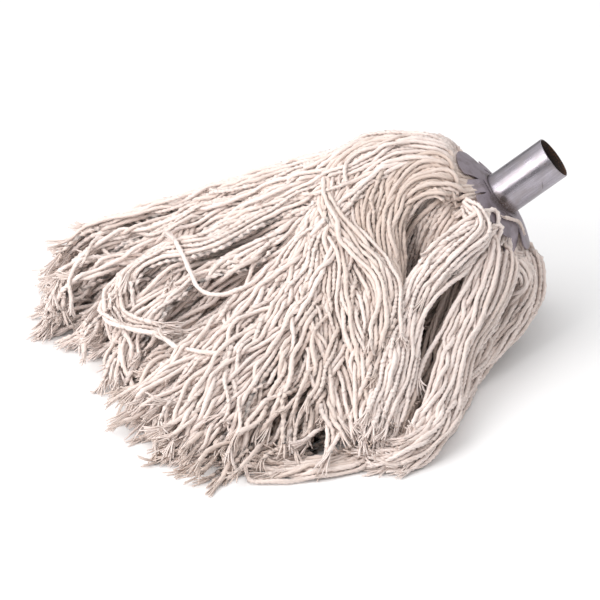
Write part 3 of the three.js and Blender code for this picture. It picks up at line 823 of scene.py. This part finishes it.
class Mesher:
    """Collects tubes and makes one mesh of them."""

    def __init__(self):
        self.vertices, self.faces, self.fibre, self.tone = [], [], [], []
        self.total = 0

    def tube(self, path, radius, around, lobes, twist, tone):
        """A closed tube; radius is a value for each point of the path."""
        _, normal, binormal = rings(path)
        along = running(spacings(path))
        corner = np.arange(around) * 2 * math.pi / around
        lobe = 1 - LOBE_DEPTH * (0.5 - 0.5 * np.cos(lobes * corner)) if lobes else np.ones(around)
        angle = corner[None] + twist * along[:, None]
        size = radius[:, None] * lobe[None]
        ring = (normal[:, None] * np.cos(angle)[..., None] + binormal[:, None] * np.sin(angle)[..., None])
        points = path[:, None] + ring * size[..., None]
        fibre = np.stack([
            np.broadcast_to(along[:, None] + tone * SHADE_SHIFT, angle.shape),
            np.broadcast_to(np.cos(corner), angle.shape) * STRAND_R,
            np.broadcast_to(np.sin(corner), angle.shape) * STRAND_R,
        ], axis=2)
        self.vertices += [points.reshape(-1, 3), path[[0, -1]]]
        self.fibre += [fibre.reshape(-1, 3), fibre[[0, -1]].mean(1)]
        self.tone.append(np.full(len(path) * around + 2, tone))
        self.add_faces(len(path), around)

    def add_faces(self, n, around):
        """Faces between n rings, and a fan at each end about the tube's last two vertices."""
        i = np.arange(n - 1)[:, None] * around
        j = np.arange(around)[None]
        after = (j + 1) % around
        quads = np.stack([i + j, i + after, i + around + after, i + around + j], axis=2).reshape(-1, 4)
        last = (n - 1) * around
        hub = np.full(around, n * around)
        start = np.stack([hub, after[0], j[0], j[0]], axis=1)
        end = np.stack([hub + 1, last + j[0], last + after[0], last + after[0]], axis=1)
        self.faces += [quads + self.total, start + self.total, end + self.total]
        self.total += n * around + 2

    def build(self, name):
        """One mesh object of all the tubes. A face whose last two corners are the same is a triangle."""
        vertices = to_row(np.vstack(self.vertices))
        faces = np.vstack(self.faces)
        triangle = faces[:, 2] == faces[:, 3]
        sizes = np.where(triangle, 3, 4)
        keep = np.ones(faces.size, bool)
        keep[3::4] = ~triangle
        corners = faces.reshape(-1)[keep]
        mesh = bpy.data.meshes.new(name)
        mesh.vertices.add(len(vertices))
        mesh.vertices.foreach_set("co", vertices.astype(np.float32).ravel())
        mesh.loops.add(len(corners))
        mesh.loops.foreach_set("vertex_index", corners.astype(np.int32))
        mesh.polygons.add(len(faces))
        mesh.polygons.foreach_set("loop_start", (np.cumsum(sizes) - sizes).astype(np.int32))
        mesh.polygons.foreach_set("use_smooth", np.ones(len(faces), bool))
        mesh.update(calc_edges=True)
        mesh.validate()
        note_points(mesh, "fibre", "FLOAT_VECTOR", np.vstack(self.fibre))
        note_points(mesh, "tone", "FLOAT", np.concatenate(self.tone))
        return add_object(name, mesh)


def add_strand(mesher, path, tone, fine):
    """A strand of twisted plies, a little uneven in thickness, with a brush at its cut end."""
    step = DRAW_STEP if fine else COARSE_STEP
    path = resampled(path, step)
    s = np.arange(len(path)) * step
    thick = 1 + 0.08 * np.sin(s / rng.uniform(5, 10) + rng.uniform(0, 6))
    thick += 0.06 * np.sin(s / rng.uniform(2.2, 3.5) + rng.uniform(0, 6))
    radius = STRAND_R * rng.uniform(0.88, 1.1) * thick
    radius[:2] *= 0.7
    fray = max(1, int(rng.uniform(4, 9) / step))
    body = len(path) - fray
    pitch = rng.uniform(9, 14)  # one full turn of the plies, in millimetres of yarn
    mesher.tube(path[:body], radius[:body], AROUND, PLIES if fine else 0, 2 * math.pi / pitch, tone)
    add_tip(mesher, path, body - 1, tone, 9 if fine else 5)


def add_tip(mesher, path, at, tone, fibres):
    """The cut end of a strand, where its plies have opened like a brush."""
    tangent, normal, binormal = rings(path)
    length = rng.uniform(8, 14)
    spread = rng.uniform(0.06, 0.3)
    bend = rng.normal(0, 2.0, 3)
    t = np.linspace(0, 1, TIP_POINTS)[:, None]
    for k in range(fibres):
        angle = 2 * math.pi * (k + rng.uniform(-0.4, 0.4)) / fibres
        out = normal[at] * math.cos(angle) + binormal[at] * math.sin(angle)
        reach = length * rng.uniform(0.7, 1.1)
        curl = bend + rng.normal(0, 0.7, 3)
        fibre = path[at] - tangent[at] * 2 + out * (rng.uniform(0.2, 0.8) + spread * reach * t ** 1.5)
        fibre = fibre + tangent[at] * reach * t + curl * t ** 2
        fibre[:, 2] = np.maximum(fibre[:, 2], 0.9)
        mesher.tube(fibre, np.linspace(0.68, 0.42, TIP_POINTS), 3, 0, 0.0, tone)


# ---- the metal head's pieces


def head_piece(name, vertices, faces):
    """A mesh object of the head, from vertices in the head's own millimetres."""
    local = np.array(vertices)
    row = HEAD_CENTRE + (local[:, :1] * DOWNHILL + local[:, 1:2] * SIDEWAYS + local[:, 2:] * AXIS) * MM
    mesh = bpy.data.meshes.new(name)
    mesh.from_pydata([tuple(v) for v in row], [], faces)
    mesh.update()
    return add_object(name, mesh)


def apply_modifiers(piece):
    """Bakes the modifiers into the mesh, then notes each point's place on the head."""
    bpy.context.view_layer.update()
    shaped = piece.evaluated_get(bpy.context.evaluated_depsgraph_get())
    mesh = bpy.data.meshes.new_from_object(shaped)
    piece.modifiers.clear()
    piece.data = mesh
    points = np.zeros(len(mesh.vertices) * 3)
    mesh.vertices.foreach_get("co", points)
    local = (points.reshape(-1, 3) - HEAD_CENTRE) / MM
    place = np.stack([local @ DOWNHILL, local @ SIDEWAYS, local @ AXIS], axis=1)
    note_points(mesh, "place", "FLOAT_VECTOR", place)


def smooth_by_angle(piece, degrees):
    """Smooth faces, with sharp edges where two faces meet at more than the angle."""
    mesh = piece.data
    mesh.polygons.foreach_set("use_smooth", np.ones(len(mesh.polygons), bool))
    mesh.set_sharp_from_angle(angle=math.radians(degrees))


def arc(centre_r, centre_w, radius, start, end, steps):
    turns = np.radians(np.linspace(start, end, steps))
    return [(centre_r + radius * math.cos(t), centre_w + radius * math.sin(t)) for t in turns]


def tube_profile():
    foot_top = -SHEET - dome_drop(TUBE_R) - TUBE_GAP - 0.15
    inside = TUBE_R - SHEET
    mouth = TUBE_LENGTH - RIM_ROUND
    profile = [(inside, foot_top - 0.3), (inside, mouth)]
    profile += arc(inside + RIM_ROUND, mouth, RIM_ROUND, 180, 90, 5)[1:]
    profile += arc(TUBE_R - RIM_ROUND, mouth, RIM_ROUND, 90, 0, 5)
    profile += [(TUBE_R, 20), (TUBE_R, foot_top + 0.1), (FOOT_R - 0.1, foot_top), (FOOT_R, foot_top - 0.1)]
    profile += [(FOOT_R, foot_top - SHEET), (TUBE_R - 0.4, foot_top - SHEET)]
    return profile


def lathe(profile, around):
    """Vertices and faces of a closed profile turned about the head's axis."""
    turns = np.arange(around) * 2 * math.pi / around
    vertices = [(r * math.cos(t), r * math.sin(t), w) for r, w in profile for t in turns]
    faces = []
    rows = len(profile)
    for i in range(rows):
        for j in range(around):
            k = (j + 1) % around
            below, above = i * around, ((i + 1) % rows) * around
            faces.append((below + j, above + j, above + k, below + k))
    return vertices, faces


def nail_hole_drill():
    """A cylinder through the tube's wall, where its nail hole is."""
    bpy.ops.mesh.primitive_cylinder_add(radius=NAIL_HOLE_R * MM, depth=4 * MM, vertices=32)
    drill = bpy.context.object
    drill.name = "nail_hole_drill"
    way_out = plate_direction(NAIL_HOLE_ANGLE)
    drill.location = HEAD_CENTRE + (way_out * (TUBE_R - SHEET / 2) + AXIS * NAIL_HOLE_UP) * MM
    drill.rotation_euler = Vector(way_out).to_track_quat("Z", "Y").to_euler()
    return drill


def add_tube():
    tube = head_piece("zinc_socket_tube", *lathe(tube_profile(), TUBE_SIDES))
    drill = nail_hole_drill()
    cut = tube.modifiers.new("nail_hole", "BOOLEAN")
    cut.operation = "DIFFERENCE"
    cut.object = drill
    apply_modifiers(tube)
    smooth_by_angle(tube, 35)
    bpy.data.objects.remove(drill)
    tube.data.materials.append(zinc_tube_material())
    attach(tube, "head")
    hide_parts("socket_tube")


RADII = [PLATE_HOLE, 13.4, 14.4, CLAW_R, CLAW_R + CLAW_SLOT, 18.3, 19.6, SLIT_START, 21.8, 23, 24.5, 26.2,
         BEND_START, 29.6, 31, 32.2, 33, PLATE_R]
SLOT_ROW = RADII.index(CLAW_R)


class WeldedSheet:
    """A mesh in which points at the same place, to a hundredth of a millimetre, are one."""

    def __init__(self):
        self.vertices, self.faces, self.seen = [], [], {}

    def index(self, point):
        key = tuple(round(float(c), 2) for c in point)
        if key not in self.seen:
            self.seen[key] = len(self.vertices)
            self.vertices.append(tuple(float(c) for c in point))
        return self.seen[key]


def petal_point(r, centre, half, across, narrow):
    """A point of the plate's upper face; across runs from -1 to 1 over a petal."""
    gap = np.interp(r, [SLIT_START, 24.5, 28, 38], [0, 0.9, 0.9, 0.5]) / r
    degrees = centre + across * (half - math.degrees(gap))
    rim = PLATE_R + (NARROW_LONGER if narrow else 0) - PETAL_ROUND * abs(across) ** 4
    if r > BEND_START:
        r = BEND_START + (r - BEND_START) * (rim - BEND_START) / (PLATE_R - BEND_START)
    off = from_narrow(degrees)
    if CLAW_R - 1.2 < r < CLAW_R + CLAW_SLOT + 1.3:
        straight = 1 / math.cos(math.radians(min(off, CLAW_SLOT_HALF)))
        r *= 1 + (straight - 1) * (1 - smooth((off - CLAW_SLOT_HALF) / 14))
    w = -dome_drop(r) - (fold_drop(r) if narrow else 0)
    turn = math.radians(degrees)
    return (r * math.cos(turn), r * math.sin(turn), w)


def petal_columns(half, edge):
    inner = np.linspace(-half + edge, half - edge, int(half / 1.4))
    return np.concatenate([[-half], inner, [half]]) / half


def add_petal(sheet, centre, narrow):
    """One petal, with its part of the claws' slots open. Gives back the points of the slots' outer edge."""
    half = NARROW_HALF if narrow else WIDE_HALF
    columns = petal_columns(half, 2.2 if narrow else CLAW_SLOT_HALF - NARROW_HALF)
    grid = [[sheet.index(petal_point(r, centre, half, a, narrow)) for a in columns] for r in RADII]
    for i in range(len(RADII) - 1):
        for j in range(len(columns) - 1):
            middle = centre + half * (columns[j] + columns[j + 1]) / 2
            if i == SLOT_ROW and from_narrow(middle) < CLAW_SLOT_HALF:
                continue
            sheet.faces.append((grid[i][j], grid[i + 1][j], grid[i + 1][j + 1], grid[i][j + 1]))
    return grid[SLOT_ROW + 1]


def add_claw(sheet, centre, edge):
    """The claw that is bent down from a slot's outer edge into the yarn."""
    turn = math.radians(centre)
    ahead = np.array([math.cos(turn), math.sin(turn)])
    row = edge
    for drop, share in ((0.5, 1), (CLAW_LENGTH / 2, 1), (CLAW_LENGTH, 0.3)):
        lower = []
        for v in edge:
            flat = np.array(sheet.vertices[v][:2])
            outwards = flat @ ahead
            aside = flat - outwards * ahead
            spot = (outwards - 0.2) * ahead + aside * share
            lower.append(sheet.index((*spot, sheet.vertices[v][2] - drop)))
        for j in range(len(row) - 1):
            sheet.faces.append((row[j], row[j + 1], lower[j + 1], lower[j]))
        row = lower


def plate_sheet():
    """The plate's upper face, with its slits, slots and claws open, as one welded sheet."""
    sheet = WeldedSheet()
    for petal in range(8):
        narrow = petal % 2 == 0
        centre = NARROW_CENTRE + 45 * petal
        edge = add_petal(sheet, centre, narrow)
        if narrow:
            add_claw(sheet, centre, edge)
    return sheet.vertices, sheet.faces


def add_plate():
    plate = head_piece("zinc_petal_plate", *plate_sheet())
    sheet = plate.modifiers.new("sheet", "SOLIDIFY")
    sheet.thickness = SHEET * MM
    sheet.offset = -1
    sheet.use_even_offset = True
    edge = plate.modifiers.new("edge", "BEVEL")
    edge.width = 0.15 * MM
    edge.segments = 2
    edge.limit_method = "ANGLE"
    edge.angle_limit = math.radians(50)
    apply_modifiers(plate)
    smooth_by_angle(plate, 40)
    plate.data.materials.append(zinc_plate_material())
    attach(plate, "head")
    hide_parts("petal_plate")


# ---- the metal's materials


class Graph:
    """Short names for a material's nodes."""

    def __init__(self, name):
        self.material = bpy.data.materials.new(name)
        self.material.use_nodes = True
        self.nodes = self.material.node_tree.nodes
        self.links = self.material.node_tree.links
        self.bsdf = self.nodes["Principled BSDF"]

    def feed(self, socket, value):
        """Links a node's output to a socket, or gives the socket a value of its own."""
        if hasattr(value, "is_output"):
            self.links.new(value, socket)
        else:
            socket.default_value = value

    def surface(self, name, value):
        self.feed(self.bsdf.inputs[name], value)

    def attribute(self, name, output="Vector"):
        node = self.nodes.new("ShaderNodeAttribute")
        node.attribute_name = name
        return node.outputs[output]

    def math(self, operation, *values):
        node = self.nodes.new("ShaderNodeMath")
        node.operation = operation
        for socket, value in zip(node.inputs, values):
            self.feed(socket, value)
        return node.outputs[0]

    def times(self, a, b):
        return self.math("MULTIPLY", a, b)

    def sum(self, a, b):
        return self.math("ADD", a, b)

    def larger(self, a, b):
        return self.math("MAXIMUM", a, b)

    def squares(self, x, y):
        return self.sum(self.times(x, x), self.times(y, y))

    def split(self, vector):
        node = self.nodes.new("ShaderNodeSeparateXYZ")
        self.feed(node.inputs[0], vector)
        return node.outputs[0], node.outputs[1], node.outputs[2]

    def noise(self, vector, scale, detail=3.0, roughness=0.5):
        """Noise, with its own scale along each axis of the vector."""
        mapping = self.nodes.new("ShaderNodeMapping")
        mapping.inputs["Scale"].default_value = scale
        self.feed(mapping.inputs["Vector"], vector)
        node = self.nodes.new("ShaderNodeTexNoise")
        node.inputs["Scale"].default_value = 1.0
        node.inputs["Detail"].default_value = detail
        node.inputs["Roughness"].default_value = roughness
        self.feed(node.inputs["Vector"], mapping.outputs[0])
        return node.outputs["Fac"]

    def ramp(self, value, low, high, start, end):
        """Maps value from start..end to low..high, and holds it at both ends."""
        node = self.nodes.new("ShaderNodeMapRange")
        node.interpolation_type = "SMOOTHSTEP"
        for name, number in (("From Min", start), ("From Max", end), ("To Min", low), ("To Max", high)):
            node.inputs[name].default_value = number
        self.feed(node.inputs["Value"], value)
        return node.outputs[0]

    def blend(self, share, a, b):
        """Colour a where share is 0, b where it is 1."""
        node = self.nodes.new("ShaderNodeMix")
        node.data_type = "RGBA"
        self.feed(node.inputs["Factor"], share)
        for socket, colour in ((node.inputs[6], a), (node.inputs[7], b)):
            self.feed(socket, (*colour, 1) if isinstance(colour, tuple) else colour)
        return node.outputs[2]

    def bump(self, height, strength, distance):
        node = self.nodes.new("ShaderNodeBump")
        node.inputs["Strength"].default_value = strength
        node.inputs["Distance"].default_value = distance * MM
        self.feed(node.inputs["Height"], height)
        self.surface("Normal", node.outputs["Normal"])

    def near(self, x, y, at, size, soft=0.5):
        """1 inside an ellipse about a point of the x, y plane, fading to 0 at its edge."""
        dx = self.math("DIVIDE", self.math("SUBTRACT", x, at[0]), size[0])
        dy = self.math("DIVIDE", self.math("SUBTRACT", y, at[1]), size[1])
        return self.ramp(self.squares(dx, dy), 1.0, 0.0, 1 - soft, 1.0 + soft)


def round_tube(degrees):
    """Length of the tube's surface from its lowest line to an angle."""
    return math.radians(degrees) * TUBE_R


def tube_scratch(g, arc_length, w):
    """A short scratch, slanting down the near side of the tube."""
    slant = 0.55
    line = g.sum(w, g.times(arc_length, slant))
    middle = (round_tube(-65), 23.5 + slant * round_tube(-65))
    return g.near(arc_length, line, middle, (2.6, 0.25), 0.6)


def tube_bore(g, w, speckle):
    """Colour of the tube's inside: dark, with rust by its mouth."""
    rust = g.times(g.ramp(w, 0, 1, 31, 36.2), g.ramp(speckle, 0, 1, 0.42, 0.62))
    return g.blend(rust, (0.022, 0.015, 0.013), (0.14, 0.06, 0.025))


def zinc_tube_material():
    """Drawn zinc: streaks along the tube, painted shade and a weld spot at its foot, rust inside."""
    g = Graph("zinc_tube")
    place = g.attribute("place")
    x, y, w = g.split(place)
    arc_length = g.times(g.math("ARCTAN2", y, x), TUBE_R)
    streaks = g.noise(place, (1.4, 1.4, 0.05), 4.0, 0.6)
    cloud = g.noise(place, (0.18, 0.18, 0.12))
    speckle = g.noise(place, (1.3, 1.3, 1.3), 3.0, 0.7)
    colour = g.blend(g.ramp(streaks, 0, 1, 0.35, 0.68), (0.33, 0.305, 0.335), (0.44, 0.41, 0.455))
    colour = g.blend(g.ramp(cloud, 0, 0.6, 0.45, 0.7), colour, (0.33, 0.295, 0.30))
    # painted shade: a dark patch at the tube's foot on its near side, darker towards the plate
    foot = g.times(g.ramp(w, 1, 0, 0.5, 6), g.ramp(speckle, 0.3, 1, 0.35, 0.6))
    painted_foot_shadow = g.times(foot, g.near(arc_length, w, (round_tube(-72), 0), (11, 5), 0.6))
    colour = g.blend(painted_foot_shadow, colour, (0.13, 0.085, 0.07))
    weld_spot = g.near(arc_length, w, (round_tube(-98.6), 1.9), (2.0, 1.7), 0.7)
    tick = g.near(arc_length, w, (round_tube(-110), 32.9), (0.9, 1.0), 0.5)
    scratch = tube_scratch(g, arc_length, w)
    marks = g.larger(g.larger(g.times(weld_spot, 0.8), g.times(tick, 0.6)), g.times(scratch, 0.55))
    colour = g.blend(marks, colour, (0.055, 0.04, 0.035))
    radius = g.math("SQRT", g.squares(x, y))
    inside = g.ramp(radius, 1, 0, TUBE_R - SHEET + 0.05, TUBE_R - SHEET + 0.3)
    g.surface("Base Color", g.blend(inside, colour, tube_bore(g, w, speckle)))
    dull = g.larger(inside, g.larger(painted_foot_shadow, marks))
    g.surface("Metallic", g.ramp(dull, 1, 0.15, 0, 1))
    g.surface("Roughness", g.sum(g.ramp(cloud, 0.24, 0.34, 0.3, 0.7), g.times(dull, 0.4)))
    g.bump(g.math("SUBTRACT", streaks, scratch), 0.05, 0.1)
    return g.material


def zinc_plate_material():
    """Dull zinc with a faint spangle, with painted shade in a ring round the tube and a painted shadow of the tube
    beside it.
    """
    g = Graph("zinc_plate")
    place = g.attribute("place")
    x, y, w = g.split(place)
    spangle = g.nodes.new("ShaderNodeTexVoronoi")
    spangle.inputs["Scale"].default_value = 0.22
    g.feed(spangle.inputs["Vector"], place)
    cell = g.split(spangle.outputs["Color"])[0]
    grain = g.noise(place, (1.1, 1.1, 1.1), 4.0, 0.65)
    cloud = g.noise(place, (0.14, 0.14, 0.14))
    colour = g.blend(g.ramp(cell, 0.25, 0.75, 0, 1), (0.315, 0.27, 0.305), (0.39, 0.34, 0.38))
    colour = g.blend(g.ramp(cloud, 0, 0.7, 0.48, 0.7), colour, (0.235, 0.195, 0.20))
    radius = g.math("SQRT", g.squares(x, y))
    # painted shade: a dark ring on the plate round the tube, for the shade in the gap at its foot
    painted_gap_shade = g.times(g.ramp(radius, 1, 0, 13.2, 15.5), g.ramp(grain, 0.3, 0.9, 0.3, 0.6))
    colour = g.blend(painted_gap_shade, colour, (0.11, 0.085, 0.08))
    # painted shadow: a dark patch on the plate beside the tube's near side, for the tube's shadow there
    painted_foot_shadow = g.times(g.near(x, y, (-1.5, -16.0), (9, 4.5), 0.8), g.ramp(grain, 0.25, 0.95, 0.35, 0.6))
    colour = g.blend(painted_foot_shadow, colour, (0.085, 0.058, 0.05))
    smudge = g.times(g.near(x, y, (-15.0, -10.5), (5, 4), 0.8), g.ramp(grain, 0, 0.5, 0.4, 0.6))
    g.surface("Base Color", g.blend(smudge, colour, (0.14, 0.115, 0.115)))
    g.surface("Metallic", g.ramp(g.larger(painted_foot_shadow, painted_gap_shade), 0.85, 0.3, 0, 1))
    g.surface("Roughness", g.ramp(grain, 0.46, 0.6, 0.3, 0.7))
    g.bump(grain, 0.15, 0.12)
    return g.material


def inner_steel_material():
    """Darkened plated steel, for the discs, the ring and the rivet inside the yarn."""
    g = Graph("inner_steel")
    coordinates = g.nodes.new("ShaderNodeTexCoord").outputs["Object"]
    cloud = g.noise(coordinates, (160, 160, 160))
    grain = g.noise(coordinates, (1100, 1100, 1100))
    g.surface("Base Color", g.blend(g.ramp(cloud, 0, 1, 0.35, 0.7), (0.30, 0.285, 0.29), (0.16, 0.12, 0.10)))
    g.surface("Metallic", g.ramp(cloud, 0.95, 0.5, 0.45, 0.75))
    g.surface("Roughness", g.ramp(grain, 0.38, 0.55, 0.3, 0.7))
    g.bump(grain, 0.12, 0.1)
    return g.material


def finish_inner_pieces():
    steel = inner_steel_material()
    for name in ("backing_disc", "centre_rivet", "clamp_disc", "rivet_washer", "wire_ring"):
        node = frame["nodes"][name]
        node.data.materials.clear()
        node.data.materials.append(steel)


add_tube()
add_plate()
finish_inner_pieces()

# ---- the yarn pieces


def cotton_material():
    """Soft unbleached cotton: each strand has its own shade, partly random and partly painted light and shade,
    with fibres along it and a few dark flecks.
    """
    g = Graph("cotton_yarn")
    tone = g.attribute("tone", "Fac")
    fibre = g.attribute("fibre")
    fibres = g.noise(fibre, (0.5, 2.0, 2.0), 4.0, 0.6)
    patches = g.noise(fibre, (0.045, 0.2, 0.2), 2.0)
    fleck = g.noise(fibre, (0.9, 1.6, 1.6), 1.0)
    # the tone attribute holds painted light and shade: pale where the pile is lit, dark in its hollow
    shade = g.blend(tone, (0.69, 0.565, 0.495), (0.92, 0.81, 0.765))
    shade = g.blend(g.ramp(patches, 0, 0.35, 0.5, 0.75), shade, (0.68, 0.55, 0.475))
    shade = g.blend(g.ramp(fibres, 0.3, 0, 0.3, 0.5), shade, (0.64, 0.50, 0.42))
    shade = g.blend(g.ramp(fleck, 0, 0.75, 0.765, 0.80), shade, (0.16, 0.11, 0.09))
    g.surface("Base Color", shade)
    g.surface("Roughness", 0.95)
    g.surface("Specular IOR Level", 0.12)
    g.surface("Sheen Weight", 0.3)
    g.surface("Sheen Roughness", 0.5)
    g.bump(fibres, 0.5, 0.4)
    return g.material


COTTON = cotton_material()
EXIT_POINT = 44  # point of a path by which it has taken its hank's direction
CORE_ROWS = ((66, 36.0, -25.0), (56, 32.0, -29.0), (46, 27.0, -33.0))  # strands, outer radius and low point
LOOSE_THREAD = [(2.4, -24.5), (6, -21), (9.6, -17.4), (13.6, -13.4), (17, -12.4), (20, -13.6)]
LOOSE_LIFT = 1.5


def core_strands():
    """The strands' folded middles, which fill the clamp: over the ring, out under the petals and down."""
    paths = []
    for row, (count, out, low) in enumerate(CORE_ROWS):
        profile = [(9, -11.5 - 2 * row), (15, -9.5 - 2.5 * row), (21, -10.5 - 3 * row),
                   (0.9 * out, -14.5 - 3 * row), (out, low + 8), (out - 3, low + 1), (out - 9, low - 4),
                   (out - 16, low - 6)]
        for k in range(count):
            turn = math.radians(360 * (k + rng.uniform(-0.3, 0.3)) / count)
            swing = math.radians(rng.normal(0, 3))
            points = []
            for i, (r, w) in enumerate(profile):
                angle = turn + swing * i / 3
                points.append(head_point(r * math.cos(angle), r * math.sin(angle), w))
            paths.append(spline(points, STEP))
    return paths


def loose_thread_path():
    """A scrap of yarn that lies over the plate's near side."""
    points = [head_point(x, y, LOOSE_LIFT - dome_drop(math.hypot(x, y))) for x, y in LOOSE_THREAD]
    return spline(points, 1.0)


def add_scrap_end(mesher, start, forward, tone):
    """A few short fibres past the end of the loose scrap."""
    forward = forward / np.linalg.norm(forward)
    t = np.linspace(0, 1, TIP_POINTS)[:, None]
    for _ in range(5):
        drift = rng.normal(0, 0.35, 3)
        fibre = start + (forward * 2.6 + drift * 2) * t - forward * 0.6
        mesher.tube(fibre, np.linspace(0.45, 0.25, TIP_POINTS), 4, 0, 0.0, tone)


def build_held_yarn():
    """The clamped middles of the strands and the loose scrap, which stay with the metal head."""
    held = (("yarn_core", core_strands(), 1.0), ("loose_thread", [loose_thread_path()], 0.8))
    for name, paths, size in held:
        mesher = Mesher()
        for path in paths:
            tone = rng.uniform(0.1, 0.7)
            thick = 1 + 0.1 * np.sin(np.arange(len(path)) / rng.uniform(1.5, 3))
            radius = STRAND_R * size * thick
            radius[[0, -1]] *= 0.75
            mesher.tube(path, radius, 8, PLIES, 2 * math.pi / 12, tone)
            if name == "loose_thread":
                add_scrap_end(mesher, path[0], path[0] - path[1], tone)
                add_scrap_end(mesher, path[-1], path[-1] - path[-2], tone)
        piece = mesher.build("yarn_" + name)
        piece.data.materials.append(COTTON)
        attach(piece, "head")
        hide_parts(name)


def build_yarn():
    """The loose strands, one piece for each hank that they belong to."""
    for name in sorted(set(strands.pieces)):
        mesher = Mesher()
        exits = []
        for path, owner, tone, fine in zip(strands.paths, strands.pieces, strands.tones, strands.fine):
            if owner == name:
                add_strand(mesher, path, tone, fine)
                exits.append(path[min(EXIT_POINT, len(path) - 1)] - NECK_CENTRE)
        piece = mesher.build("yarn_" + name)
        piece.data.materials.append(COTTON)
        out = np.mean(exits, axis=0)
        out /= np.linalg.norm(out)
        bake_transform(piece)
        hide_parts(name)


build_held_yarn()
build_yarn()
